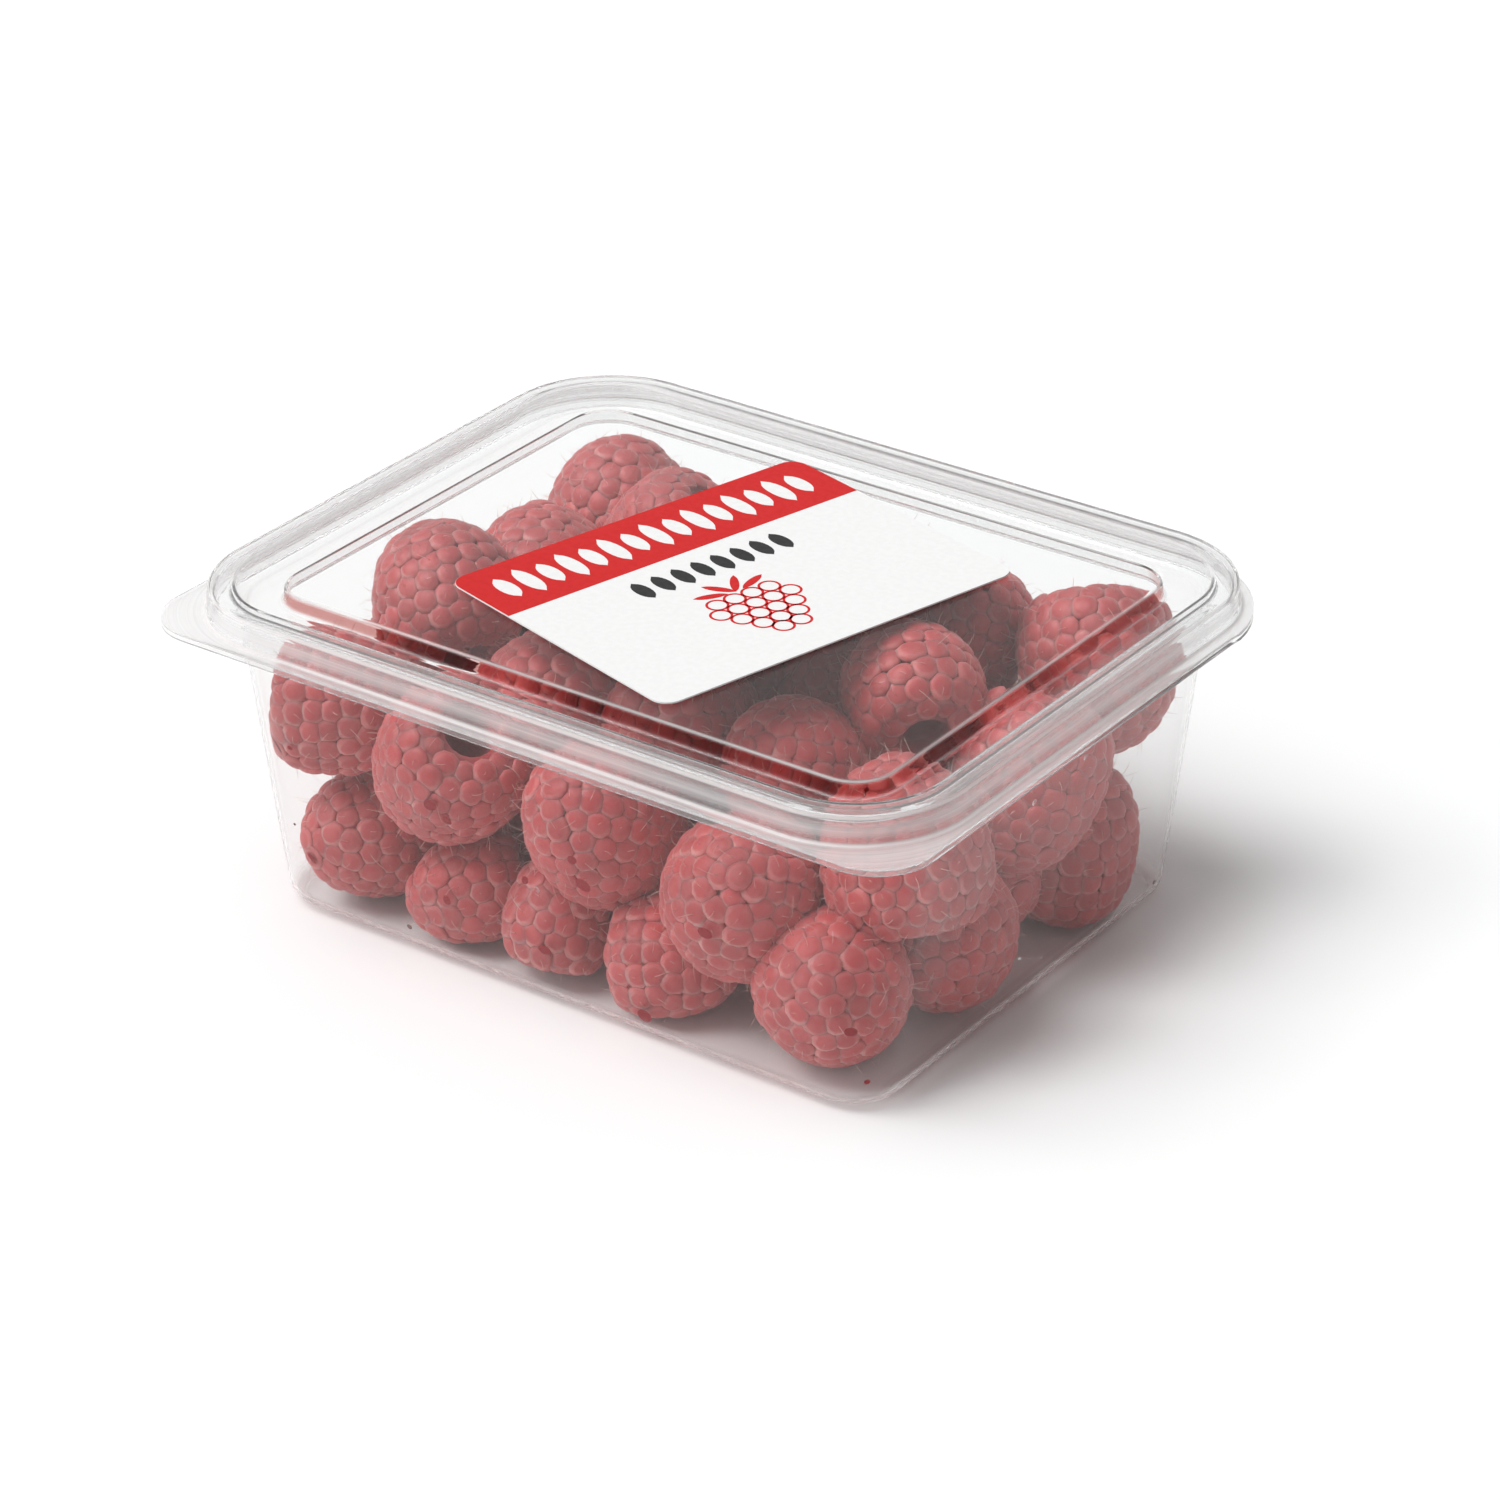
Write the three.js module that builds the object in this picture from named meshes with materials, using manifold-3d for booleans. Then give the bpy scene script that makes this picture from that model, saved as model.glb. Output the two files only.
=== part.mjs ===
// A shut clear punnet of raspberries: a tapered tray, the press-on lid with its pull tabs, a paper label
// stuck askew on the lid, and the heap of berries inside. Millimetres, +Z up. The origin is the middle of
// the flat base, +X runs along the long side and -Y is the long side with the two pull tabs.
import * as THREE from 'three';
import { RoundedBoxGeometry } from 'three/addons/geometries/RoundedBoxGeometry.js';
import { mergeVertices } from 'three/addons/utils/BufferGeometryUtils.js';
import Module from 'manifold-3d';

// ---- driving sizes --------------------------------------------------------------------------------
// Every outline is a rounded rectangle parallel to the lid's raised panel, at an outset from it.
const PANEL_LENGTH = 115;
const PANEL_WIDTH = 86.5;
const PANEL_CORNER_RADIUS = 7;
const CORNER_STEPS = 7;

const SHEET = 0.6; // thickness of the formed plastic
const CLEARANCE = 0.3; // between the lid and the tray, and from the berries to either

// Lid levels above the floor and outsets from the panel.
const PANEL_TOP = 56.4;
const PANEL_EDGE_ROUNDING = 0.8;
const CHANNEL_TOP = 53.6;
const CHANNEL_START = 0.4;
const CHANNEL_END = 6.2;
const BEAD_TOP = 57.5;
const BEAD_START = 7.9;
const BEAD_END = 12;
const BEAD_ROUNDING = 0.7;
const SKIRT_FOOT = 12.6;
const FLANGE_TOP = 52.6;
const FLANGE_END = 14.65;
const TAB_CORNER_RADIUS = 9.5; // the two front corners reach out as pull tabs
const REAR_CORNER_RADIUS = 22;

// Tray.
const BASE_OUTSET = 2;
const BASE_ROUNDING = 4.5;
const BASE_ROUNDING_STEPS = 3;

// Label, lying askew on the panel.
const LABEL_LENGTH = 71;
const LABEL_WIDTH = 55;
const LABEL_CORNER_RADIUS = 3;
const LABEL_CORNER_STEPS = 4;
const LABEL_THICKNESS = 0.3;
const LABEL_LIFT = 0.2;
const LABEL_CENTRE = [0.6, 1.7];
const LABEL_TURN = 75; // degrees from +X to the label's long edge

// Berries: a blunt cone with round shoulders and a hollow where the stalk was pulled out.
const BERRY_SIDES = 12;
// [share of the length from the hollow's mouth to the tip, share of the widest radius]
const BERRY_PROFILE = [[0, 0.78], [0.12, 0.98], [0.35, 1.05], [0.62, 0.97], [0.82, 0.76], [0.95, 0.42]];
const HOLLOW_RADIUS = 0.42; // share of the widest radius
const HOLLOW_LIP = 0.02; // share of the length from the mouth to the hollow's rounded edge
const HOLLOW_DEPTH = 0.5;

// The core that fills the middle of the heap, out of sight behind the berries.
const CORE_SIZE = [92, 62, 27];
const CORE_CENTRE_HEIGHT = 21;
const CORE_ROUNDING = 11;
const CORE_ROUNDING_STEPS = 2;

// The berries' ceiling falls from the panel's level to the channel's over a short slope at the panel's edge.
const CEILING_SLOPE = 0.5;
const CEILING_SLOPE_START = 2; // in from the panel's outline

const MERGE_DISTANCE = 1e-4; // points this close are one point of a solid

// Each berry: its middle [x, y, z], its width and length, the way its tip points (turn from +X, tilt up).
const berry = (x, y, z, width, length, turn, tilt) => ({ x, y, z, width, length, turn, tilt });

const BOTTOM_LAYER = [
  // along the front wall
  berry(-46.3, -34.6, 12, 19.8, 21.5, -119, 6),
  berry(-24.6, -36.4, 9.2, 16.2, 18.5, -130, -10),
  berry(-6.2, -36.2, 10, 16.6, 18.8, 100, 62),
  berry(16.3, -35.6, 9.8, 17.6, 21.5, 30, 4),
  berry(44.8, -34.4, 12, 23, 23.5, -62, 30),
  // second row
  berry(-48, -10.5, 12, 22, 24, 165, 20),
  berry(-25, -12, 12, 23, 24, 60, 70),
  berry(-2, -12.5, 12, 23, 23, 10, -20),
  berry(22, -12, 12, 23, 25, -70, 30),
  berry(49.5, -10.6, 12, 22.4, 24.5, -60, 8),
  // third row
  berry(-48.5, 12.5, 12.4, 23, 25, 100, 65),
  berry(-25, 11, 12, 23, 24, 200, 10),
  berry(-1, 11.5, 12, 23, 24, 45, -60),
  berry(22.5, 12, 12, 23, 24, 20, 50),
  berry(40, 12.5, 11.6, 21, 24, -20, 5),
  // along the back wall
  berry(-47, 34, 12, 22.5, 24, 130, 12),
  berry(-23, 34.3, 11.8, 22.5, 24, 60, 30),
  berry(0.5, 34, 12.4, 23, 25, 95, 68),
  berry(24, 34.4, 11.8, 22.5, 24, 10, 5),
  berry(48.8, 26.5, 14.2, 22.6, 26.5, 30, 78),
];

const MIDDLE_LAYER = [
  // along the front wall
  berry(-48.8, -36.2, 34.8, 21, 23.5, 30, -6),
  berry(-28.9, -34.7, 28.9, 24, 25, 155, -52),
  berry(-0.4, -33.3, 28.7, 23, 25.5, -96, 45),
  berry(28.2, -33.6, 25.4, 24.5, 25, -58, 40),
  berry(48.7, -19.5, 33.8, 24, 26, 150, 70),
  // along the right wall
  berry(50, 11.3, 30, 22.6, 27.5, -90, -60),
  berry(48.6, 35.2, 39.6, 23.6, 25, -50, -52),
  // along the back wall
  berry(23.8, 33.5, 39.6, 23, 25, 15, 58),
  berry(-10.5, 34, 35, 23, 25, 110, 15),
  berry(-36, 37, 26.5, 21.5, 24, 170, -8),
  // along the left wall
  berry(-48.5, 15, 37.2, 23.5, 25, 120, 20),
  // inside
  berry(-20, -15.5, 37, 22, 24, 60, 28),
  berry(0, -13.5, 35.6, 23, 24, -80, 20),
  berry(21.6, -13, 35.5, 20.6, 22, -100, 35),
  berry(-28, 7, 35.5, 22.5, 24, 15, 60),
  berry(-6, 9.5, 36, 22.5, 24, 250, 35),
  berry(12.5, 15, 32, 22, 24, 90, 70),
];

const TOP_LAYER = [
  berry(-51.8, -7, 45, 22.8, 23, 150, 45),
  berry(-48.5, 38.2, 45, 23, 23, 80, 74),
  berry(-31.5, 26.6, 41.8, 22, 23, 200, -48),
  berry(30.1, 8, 42.6, 22, 21.3, 139, 18),
  berry(4, 38.6, 45.2, 24, 21.5, 90, 84),
];

// ---- outlines and lofts ---------------------------------------------------------------------------
const radians = THREE.MathUtils.degToRad;

// A rounded rectangle as points going round from the +X +Y corner. radii holds its four corner radii.
function roundedOutline(halfLength, halfWidth, radii, height, steps) {
  const corners = [[1, 1], [-1, 1], [-1, -1], [1, -1]];
  return corners.flatMap(([sideX, sideY], corner) => {
    const radius = radii[corner];
    const points = [];
    for (let step = 0; step <= steps; step += 1) {
      const angle = (Math.PI / 2) * (corner + step / steps);
      const x = sideX * (halfLength - radius) + radius * Math.cos(angle);
      const y = sideY * (halfWidth - radius) + radius * Math.sin(angle);
      points.push(new THREE.Vector3(x, y, height));
    }
    return points;
  });
}

// One ring of the pack at an outset from the panel, with corners concentric to the panel's.
function packRing([outset, height], tabbed = false) {
  const concentric = PANEL_CORNER_RADIUS + outset;
  const radii = tabbed
    ? [REAR_CORNER_RADIUS, REAR_CORNER_RADIUS, TAB_CORNER_RADIUS, TAB_CORNER_RADIUS]
    : Array(4).fill(concentric);
  return roundedOutline(PANEL_LENGTH / 2 + outset, PANEL_WIDTH / 2 + outset, radii, height, CORNER_STEPS);
}

// A closed solid through a chain of rings, each going round the same way, with the two ends filled by fans.
function loft(rings, startPoint, endPoint) {
  const count = rings[0].length;
  const points = [startPoint, ...rings.flat(), endPoint];
  const indices = [];
  for (let side = 0; side < count; side += 1) {
    const next = (side + 1) % count;
    indices.push(0, 1 + side, 1 + next);
    for (let ring = 0; ring + 1 < rings.length; ring += 1) {
      const here = 1 + ring * count;
      const there = here + count;
      indices.push(here + side, there + side, there + next);
      indices.push(here + side, there + next, here + next);
    }
    const last = 1 + (rings.length - 1) * count;
    indices.push(last + side, points.length - 1, last + next);
  }
  const geometry = new THREE.BufferGeometry().setFromPoints(points);
  geometry.setIndex(indices);
  geometry.computeVertexNormals();
  return geometry;
}

// The line beside a section's line, at a distance on its right-hand side, with mitred corners.
function besideProfile(profile, distance) {
  const points = profile.map(([outset, height]) => new THREE.Vector2(outset, height));
  const rightOf = (from, to) => {
    const along = to.clone().sub(from).normalize();
    return new THREE.Vector2(along.y, -along.x);
  };
  return points.map((point, index) => {
    const before = index > 0 ? rightOf(points[index - 1], point) : rightOf(point, points[index + 1]);
    const after = index + 1 < points.length ? rightOf(point, points[index + 1]) : before;
    const mitre = before.clone().add(after).normalize();
    const moved = point.clone().addScaledVector(mitre, distance / mitre.dot(after));
    return [moved.x, moved.y];
  });
}

// ---- lid and tray ---------------------------------------------------------------------------------
// The rim's section, from the foot of the plug up over the bead and down the skirt to the flange's edge.
const RIM_PROFILE = [
  [CHANNEL_END, CHANNEL_TOP],
  [BEAD_START, BEAD_TOP],
  [BEAD_END - BEAD_ROUNDING, BEAD_TOP],
  [BEAD_END, BEAD_TOP - BEAD_ROUNDING],
  [SKIRT_FOOT, FLANGE_TOP],
  [FLANGE_END, FLANGE_TOP],
];
const LID_PROFILE = [
  [-PANEL_EDGE_ROUNDING, PANEL_TOP],
  [0, PANEL_TOP - PANEL_EDGE_ROUNDING / 2],
  [CHANNEL_START, CHANNEL_TOP],
  ...RIM_PROFILE,
];

const isFlangeEdge = (index, profile) => index === profile.length - 1;

function lidGeometry() {
  const underside = besideProfile(LID_PROFILE, SHEET);
  const topRings = LID_PROFILE.map((point, index) => packRing(point, isFlangeEdge(index, LID_PROFILE)));
  const underRings = underside.map((point, index) => packRing(point, isFlangeEdge(index, LID_PROFILE)));
  const panelTop = new THREE.Vector3(0, 0, PANEL_TOP);
  const panelUnder = new THREE.Vector3(0, 0, PANEL_TOP - SHEET);
  return loft([...topRings, ...underRings.reverse()], panelTop, panelUnder);
}

// The rounding from the base up into the wall, as [outset, height] points of one surface of the sheet.
function baseRounding(inset) {
  const points = [];
  for (let step = 0; step <= BASE_ROUNDING_STEPS; step += 1) {
    const angle = (Math.PI / 2) * (step / BASE_ROUNDING_STEPS);
    const reach = BASE_ROUNDING - inset;
    const outset = BASE_OUTSET - BASE_ROUNDING + reach * Math.sin(angle);
    points.push([outset, BASE_ROUNDING - reach * Math.cos(angle)]);
  }
  return points;
}

function trayGeometry() {
  const rimTop = besideProfile(RIM_PROFILE, SHEET + CLEARANCE);
  const rimUnder = besideProfile(RIM_PROFILE, 2 * SHEET + CLEARANCE);
  const rimRing = (point, index) => packRing(point, isFlangeEdge(index, RIM_PROFILE));
  const inner = baseRounding(SHEET).map((point) => packRing(point));
  const outer = baseRounding(0).map((point) => packRing(point));
  const rings = [...inner, ...rimTop.map(rimRing), ...rimUnder.map(rimRing).reverse(), ...outer.reverse()];
  return loft(rings, new THREE.Vector3(0, 0, SHEET), new THREE.Vector3(0, 0, 0));
}

// ---- label ----------------------------------------------------------------------------------------
function labelGeometry() {
  const outline = (height) => {
    const radii = Array(4).fill(LABEL_CORNER_RADIUS);
    return roundedOutline(LABEL_LENGTH / 2, LABEL_WIDTH / 2, radii, height, LABEL_CORNER_STEPS);
  };
  const middle = (height) => new THREE.Vector3(0, 0, height);
  return loft([outline(LABEL_THICKNESS), outline(0)], middle(LABEL_THICKNESS), middle(0));
}

// ---- berries --------------------------------------------------------------------------------------
// The inside of the shut pack that the berries may fill. Its walls lean out and its ceiling falls from the
// panel to the channel, so it is convex, and a solid whose points are all inside it stays inside.
const KEEP_OFF = SHEET + CLEARANCE;
const [WALL_TOP_OUTSET, WALL_TOP_HEIGHT] = besideProfile(RIM_PROFILE, KEEP_OFF)[0];
const WALL_RUN = (WALL_TOP_OUTSET - BASE_OUTSET + SHEET) / (WALL_TOP_HEIGHT - BASE_ROUNDING);

// How far out from the panel's outline the space for the berries goes at a height.
function spaceOutset(height) {
  if (height > BASE_ROUNDING) {
    return BASE_OUTSET - KEEP_OFF + WALL_RUN * (height - BASE_ROUNDING);
  }
  const reach = Math.sqrt((BASE_ROUNDING - KEEP_OFF) ** 2 - (BASE_ROUNDING - height) ** 2);
  return BASE_OUTSET - BASE_ROUNDING + reach;
}

function intoPack(point) {
  const height = Math.max(point.z, KEEP_OFF);
  const outset = spaceOutset(height);
  const radius = PANEL_CORNER_RADIUS + outset;
  const halfLength = PANEL_LENGTH / 2 + outset;
  const halfWidth = PANEL_WIDTH / 2 + outset;
  let x = THREE.MathUtils.clamp(point.x, -halfLength, halfLength);
  let y = THREE.MathUtils.clamp(point.y, -halfWidth, halfWidth);
  const overX = Math.abs(x) - (halfLength - radius);
  const overY = Math.abs(y) - (halfWidth - radius);
  const over = Math.hypot(overX, overY);
  if (overX > 0 && overY > 0 && over > radius) {
    x = Math.sign(x) * (halfLength - radius + (overX * radius) / over);
    y = Math.sign(y) * (halfWidth - radius + (overY * radius) / over);
  }
  const pastPanel = Math.max(Math.abs(x) - PANEL_LENGTH / 2, Math.abs(y) - PANEL_WIDTH / 2);
  const lowCeiling = CHANNEL_TOP - KEEP_OFF;
  const slopingCeiling = lowCeiling - (pastPanel + CEILING_SLOPE_START) * CEILING_SLOPE;
  const ceiling = Math.min(PANEL_TOP - KEEP_OFF, Math.max(slopingCeiling, lowCeiling));
  return new THREE.Vector3(x, y, Math.min(height, ceiling));
}

function berryGeometry({ x, y, z, width, length, turn, tilt }) {
  const ring = (share, radiusShare, lag) => {
    const points = [];
    for (let side = 0; side < BERRY_SIDES; side += 1) {
      const angle = (2 * Math.PI * (side + lag)) / BERRY_SIDES;
      const radius = (width / 2) * radiusShare;
      const along = (share - 0.5) * length;
      points.push(new THREE.Vector3(radius * Math.cos(angle), radius * Math.sin(angle), along));
    }
    return points;
  };
  const tip = new THREE.Vector3(0, 0, length / 2);
  const hollowEnd = new THREE.Vector3(0, 0, (HOLLOW_DEPTH - 0.5) * length);
  const rings = BERRY_PROFILE.map(([share, radius], row) => ring(share, radius, row / 2)).reverse();
  rings.push(ring(HOLLOW_LIP, HOLLOW_RADIUS, -0.5));
  const geometry = loft(rings, tip, hollowEnd);
  geometry.rotateY(Math.PI / 2 - radians(tilt));
  geometry.rotateZ(radians(turn));
  geometry.translate(x, y, z);
  const places = geometry.getAttribute('position');
  for (let index = 0; index < places.count; index += 1) {
    const place = intoPack(new THREE.Vector3().fromBufferAttribute(places, index));
    places.setXYZ(index, place.x, place.y, place.z);
  }
  return geometry;
}

function coreGeometry() {
  const core = new RoundedBoxGeometry(...CORE_SIZE, CORE_ROUNDING_STEPS, CORE_ROUNDING);
  core.translate(0, 0, CORE_CENTRE_HEIGHT);
  return core;
}

// ---- joining with manifold-3d ---------------------------------------------------------------------
const wasm = await Module();
wasm.setup();

function toSolid(geometry) {
  const bare = geometry.clone();
  bare.deleteAttribute('normal');
  bare.deleteAttribute('uv');
  const merged = mergeVertices(bare, MERGE_DISTANCE);
  const vertProperties = Float32Array.from(merged.getAttribute('position').array);
  const triVerts = Uint32Array.from(merged.getIndex().array);
  return new wasm.Manifold(new wasm.Mesh({ numProp: 3, vertProperties, triVerts }));
}

function toGeometry(solid) {
  const { vertProperties, triVerts } = solid.getMesh();
  const geometry = new THREE.BufferGeometry();
  geometry.setAttribute('position', new THREE.BufferAttribute(vertProperties, 3));
  geometry.setIndex(new THREE.BufferAttribute(triVerts, 1));
  geometry.computeVertexNormals();
  return geometry;
}

// Joining the berries can close small pockets between them. The largest shell is the heap itself, and
// taking it alone fills those pockets.
function heapGeometry() {
  const berries = [...BOTTOM_LAYER, ...MIDDLE_LAYER, ...TOP_LAYER].map(berryGeometry).map(toSolid);
  const joined = berries.reduce((heap, piece) => heap.add(piece), toSolid(coreGeometry()));
  const shells = joined.decompose().sort((a, b) => b.volume() - a.volume());
  return toGeometry(shells[0]);
}

// ---- the punnet -----------------------------------------------------------------------------------
const clearPlastic = () => new THREE.MeshStandardMaterial({
  color: 0xeef1f1, roughness: 0.08, metalness: 0, transparent: true, opacity: 0.25,
});
const labelPaper = new THREE.MeshStandardMaterial({ color: 0xf7f7f5, roughness: 0.45, metalness: 0 });
const berryFlesh = new THREE.MeshStandardMaterial({ color: 0xa93a41, roughness: 0.55, metalness: 0 });

function namedMesh(name, geometry, material) {
  const mesh = new THREE.Mesh(geometry, material);
  mesh.name = name;
  return mesh;
}

const punnet = new THREE.Group();
punnet.add(namedMesh('tray', trayGeometry(), clearPlastic()));
punnet.add(namedMesh('lid', lidGeometry(), clearPlastic()));
punnet.add(namedMesh('raspberries', heapGeometry(), berryFlesh));

const label = namedMesh('label', labelGeometry(), labelPaper);
label.position.set(...LABEL_CENTRE, PANEL_TOP + LABEL_LIFT);
label.rotation.z = radians(LABEL_TURN);
punnet.add(label);

export default punnet;
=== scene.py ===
"""The looks of a shut clear punnet of raspberries: tray, press-on lid, label and the heap of fruit."""

import logging
import math
from collections.abc import Callable
from dataclasses import dataclass, field
from enum import Enum

import bmesh
import bpy
import numpy as np
from mathutils import Matrix, Vector

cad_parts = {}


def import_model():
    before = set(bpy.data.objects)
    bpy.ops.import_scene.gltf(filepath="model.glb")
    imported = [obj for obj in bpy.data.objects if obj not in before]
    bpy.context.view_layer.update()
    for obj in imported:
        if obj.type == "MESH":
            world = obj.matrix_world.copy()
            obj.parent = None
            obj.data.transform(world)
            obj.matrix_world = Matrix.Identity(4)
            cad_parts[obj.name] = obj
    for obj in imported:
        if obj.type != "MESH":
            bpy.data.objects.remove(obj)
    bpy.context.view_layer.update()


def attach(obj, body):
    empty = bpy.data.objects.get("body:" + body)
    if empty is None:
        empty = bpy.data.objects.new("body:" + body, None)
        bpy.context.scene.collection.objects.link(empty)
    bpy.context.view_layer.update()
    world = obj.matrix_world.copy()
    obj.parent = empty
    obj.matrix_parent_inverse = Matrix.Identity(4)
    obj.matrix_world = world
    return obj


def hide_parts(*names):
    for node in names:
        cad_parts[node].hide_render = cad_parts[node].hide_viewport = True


LOG = logging.getLogger("punnet")
MM = 0.001
ON_LINE = 0.01  # millimetres that a point may be off a section's line and still count as on it
NEARLY = 1e-3  # the same for points of a shape that was just made
WET_ROOM = 0.12  # millimetres of room under which a pressed surface looks wet
WET_GAIN = 1.5  # how soon it is fully wet as the room goes
BEND_ROOM = 0.48  # the share of a line that the bend at one end may take
TINY = 1e-9  # keeps a length that may be 0 from dividing
GRAIN_FINENESS = 4.0  # how much finer a surface's grain is than its patches
STREAKS_ACROSS, STREAKS_UP, STREAKS_ALONG = 1.9, 1900.0, 28.0  # how fine, per outset in mm and per metre

Line = list[tuple[float, float]]


# ---- sizes shared with the solids, in millimetres ----------------------------------------------------
@dataclass(frozen=True)
class PackSizes:
    """The driving sizes of the pack. Every outline is parallel to the lid's raised panel."""

    panel_length: float = 115.0
    panel_width: float = 86.5
    panel_corner: float = 7.0
    panel_top: float = 56.4
    channel_top: float = 53.6
    channel_start: float = 0.4
    channel_end: float = 6.2
    bead_top: float = 57.5
    bead_start: float = 7.9
    bead_end: float = 12.0
    skirt_foot: float = 12.6
    flange_top: float = 52.6
    flange_end: float = 14.65
    tab_corner: float = 9.5
    rear_corner: float = 22.0
    base_outset: float = 2.0
    base_rounding: float = 4.5
    sheet: float = 0.6
    clearance: float = 0.3
    corner_steps: int = 14

    @property
    def nesting(self) -> float:
        """How far the tray's outer face is under the lid's upper one."""
        return 2 * self.sheet + self.clearance


SIZES = PackSizes()


class Slot(Enum):
    """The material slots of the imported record."""

    PLASTIC = "clear_plastic"
    FRUIT = "raspberry"
    PAPER = "label_paper"


# ---- small helpers for modelling by hand -------------------------------------------------------------
def deselect_all() -> None:
    """Clears the selection, so that the next operator acts on the new piece alone."""
    if bpy.context.object is not None and bpy.context.object.mode != "OBJECT":
        bpy.ops.object.mode_set(mode="OBJECT")
    bpy.ops.object.select_all(action="DESELECT")


def edit(obj: bpy.types.Object) -> None:
    """Makes one object active and opens it in edit mode with nothing selected.

    Args:
        obj: the object to open.
    """
    deselect_all()
    bpy.context.view_layer.objects.active = obj
    obj.select_set(True)
    bpy.ops.object.mode_set(mode="EDIT")
    bpy.ops.mesh.select_all(action="DESELECT")


def leave_edit() -> None:
    """Goes back to object mode."""
    bpy.ops.object.mode_set(mode="OBJECT")


def select_vertices(obj: bpy.types.Object, wanted: Callable[[bmesh.types.BMVert], bool]) -> None:
    """Selects the vertices that a test picks.

    Args:
        obj: the object in edit mode.
        wanted: the test, which may use a vertex's place, in metres, and its number.
    """
    bpy.ops.mesh.select_mode(type="VERT")
    shape = bmesh.from_edit_mesh(obj.data)
    for vertex in shape.verts:
        vertex.select = bool(wanted(vertex))
    shape.select_flush_mode()
    bmesh.update_edit_mesh(obj.data)


def select_blank(obj: bpy.types.Object) -> None:
    """Selects the one face with the most corners, which is the blank that is still to be shaped.

    Args:
        obj: the object in edit mode.
    """
    bpy.ops.mesh.select_mode(type="FACE")
    shape = bmesh.from_edit_mesh(obj.data)
    blank = max(shape.faces, key=lambda face: len(face.verts))
    for face in shape.faces:
        face.select = face is blank
    shape.select_flush_mode()
    bmesh.update_edit_mesh(obj.data)


def apply_place(obj: bpy.types.Object) -> None:
    """Puts the object's place, turn and scale into its mesh.

    Args:
        obj: the object to change.
    """
    deselect_all()
    bpy.context.view_layer.objects.active = obj
    obj.select_set(True)
    bpy.ops.object.transform_apply(location=True, rotation=True, scale=True)


def apply_modifier(obj: bpy.types.Object, kind: str, **settings: object) -> None:
    """Adds one modifier and applies it.

    Args:
        obj: the object to change.
        kind: the modifier's type.
        settings: values of the modifier's own properties.
    """
    modifier = obj.modifiers.new(kind.title(), kind)
    for name, value in settings.items():
        setattr(modifier, name, value)
    deselect_all()
    bpy.context.view_layer.objects.active = obj
    obj.select_set(True)
    bpy.ops.object.modifier_apply(modifier=modifier.name)


def smooth(obj: bpy.types.Object, degrees: float) -> None:
    """Shades an object smooth up to an angle between faces.

    Args:
        obj: the object to change.
        degrees: the greatest angle that is still shaded smooth.
    """
    deselect_all()
    bpy.context.view_layer.objects.active = obj
    obj.select_set(True)
    bpy.ops.object.shade_smooth_by_angle(angle=math.radians(degrees))


def outward(obj: bpy.types.Object) -> None:
    """Turns all faces of a closed shape outwards.

    Args:
        obj: the closed shape.
    """
    edit(obj)
    bpy.ops.mesh.select_all(action="SELECT")
    bpy.ops.mesh.normals_make_consistent(inside=False)
    leave_edit()


def join(objects: list[bpy.types.Object], name: str) -> bpy.types.Object:
    """Joins objects into the first one.

    Args:
        objects: the objects, which stop being separate.
        name: the name of the joined object.

    Returns:
        The joined object.
    """
    deselect_all()
    for obj in objects:
        obj.select_set(True)
    bpy.context.view_layer.objects.active = objects[0]
    if len(objects) > 1:
        bpy.ops.object.join()
    objects[0].name = name
    return objects[0]


def grow_rings(extrude: Callable[[], object], radius: float, height: float, rings: Line) -> None:
    """Draws what is selected on, ring by ring.

    Args:
        extrude: the operator that draws it on, for a face or for edges alone.
        radius: the radius that it has.
        height: the height that it has.
        rings: the radius and the height of each new ring.
    """
    for next_radius, next_height in rings:
        extrude()
        scale = next_radius / radius
        bpy.ops.transform.resize(value=(scale, scale, 1), center_override=(0, 0, height))
        bpy.ops.transform.translate(value=(0, 0, next_height - height))
        radius, height = next_radius, next_height


def finish_piece(obj: bpy.types.Object, material: bpy.types.Material, replaced: str = "") -> None:
    """Dresses a finished piece and hands it to the frame.

    Args:
        obj: the piece, with its place in its mesh.
        material: its finish.
        replaced: the solid that it stands for, if any.
    """
    obj.data.materials.clear()
    obj.data.materials.append(material)
    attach(obj, "root")
    if replaced:
        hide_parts(replaced)
    LOG.info("%s: %d faces", obj.name, len(obj.data.polygons))


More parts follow.
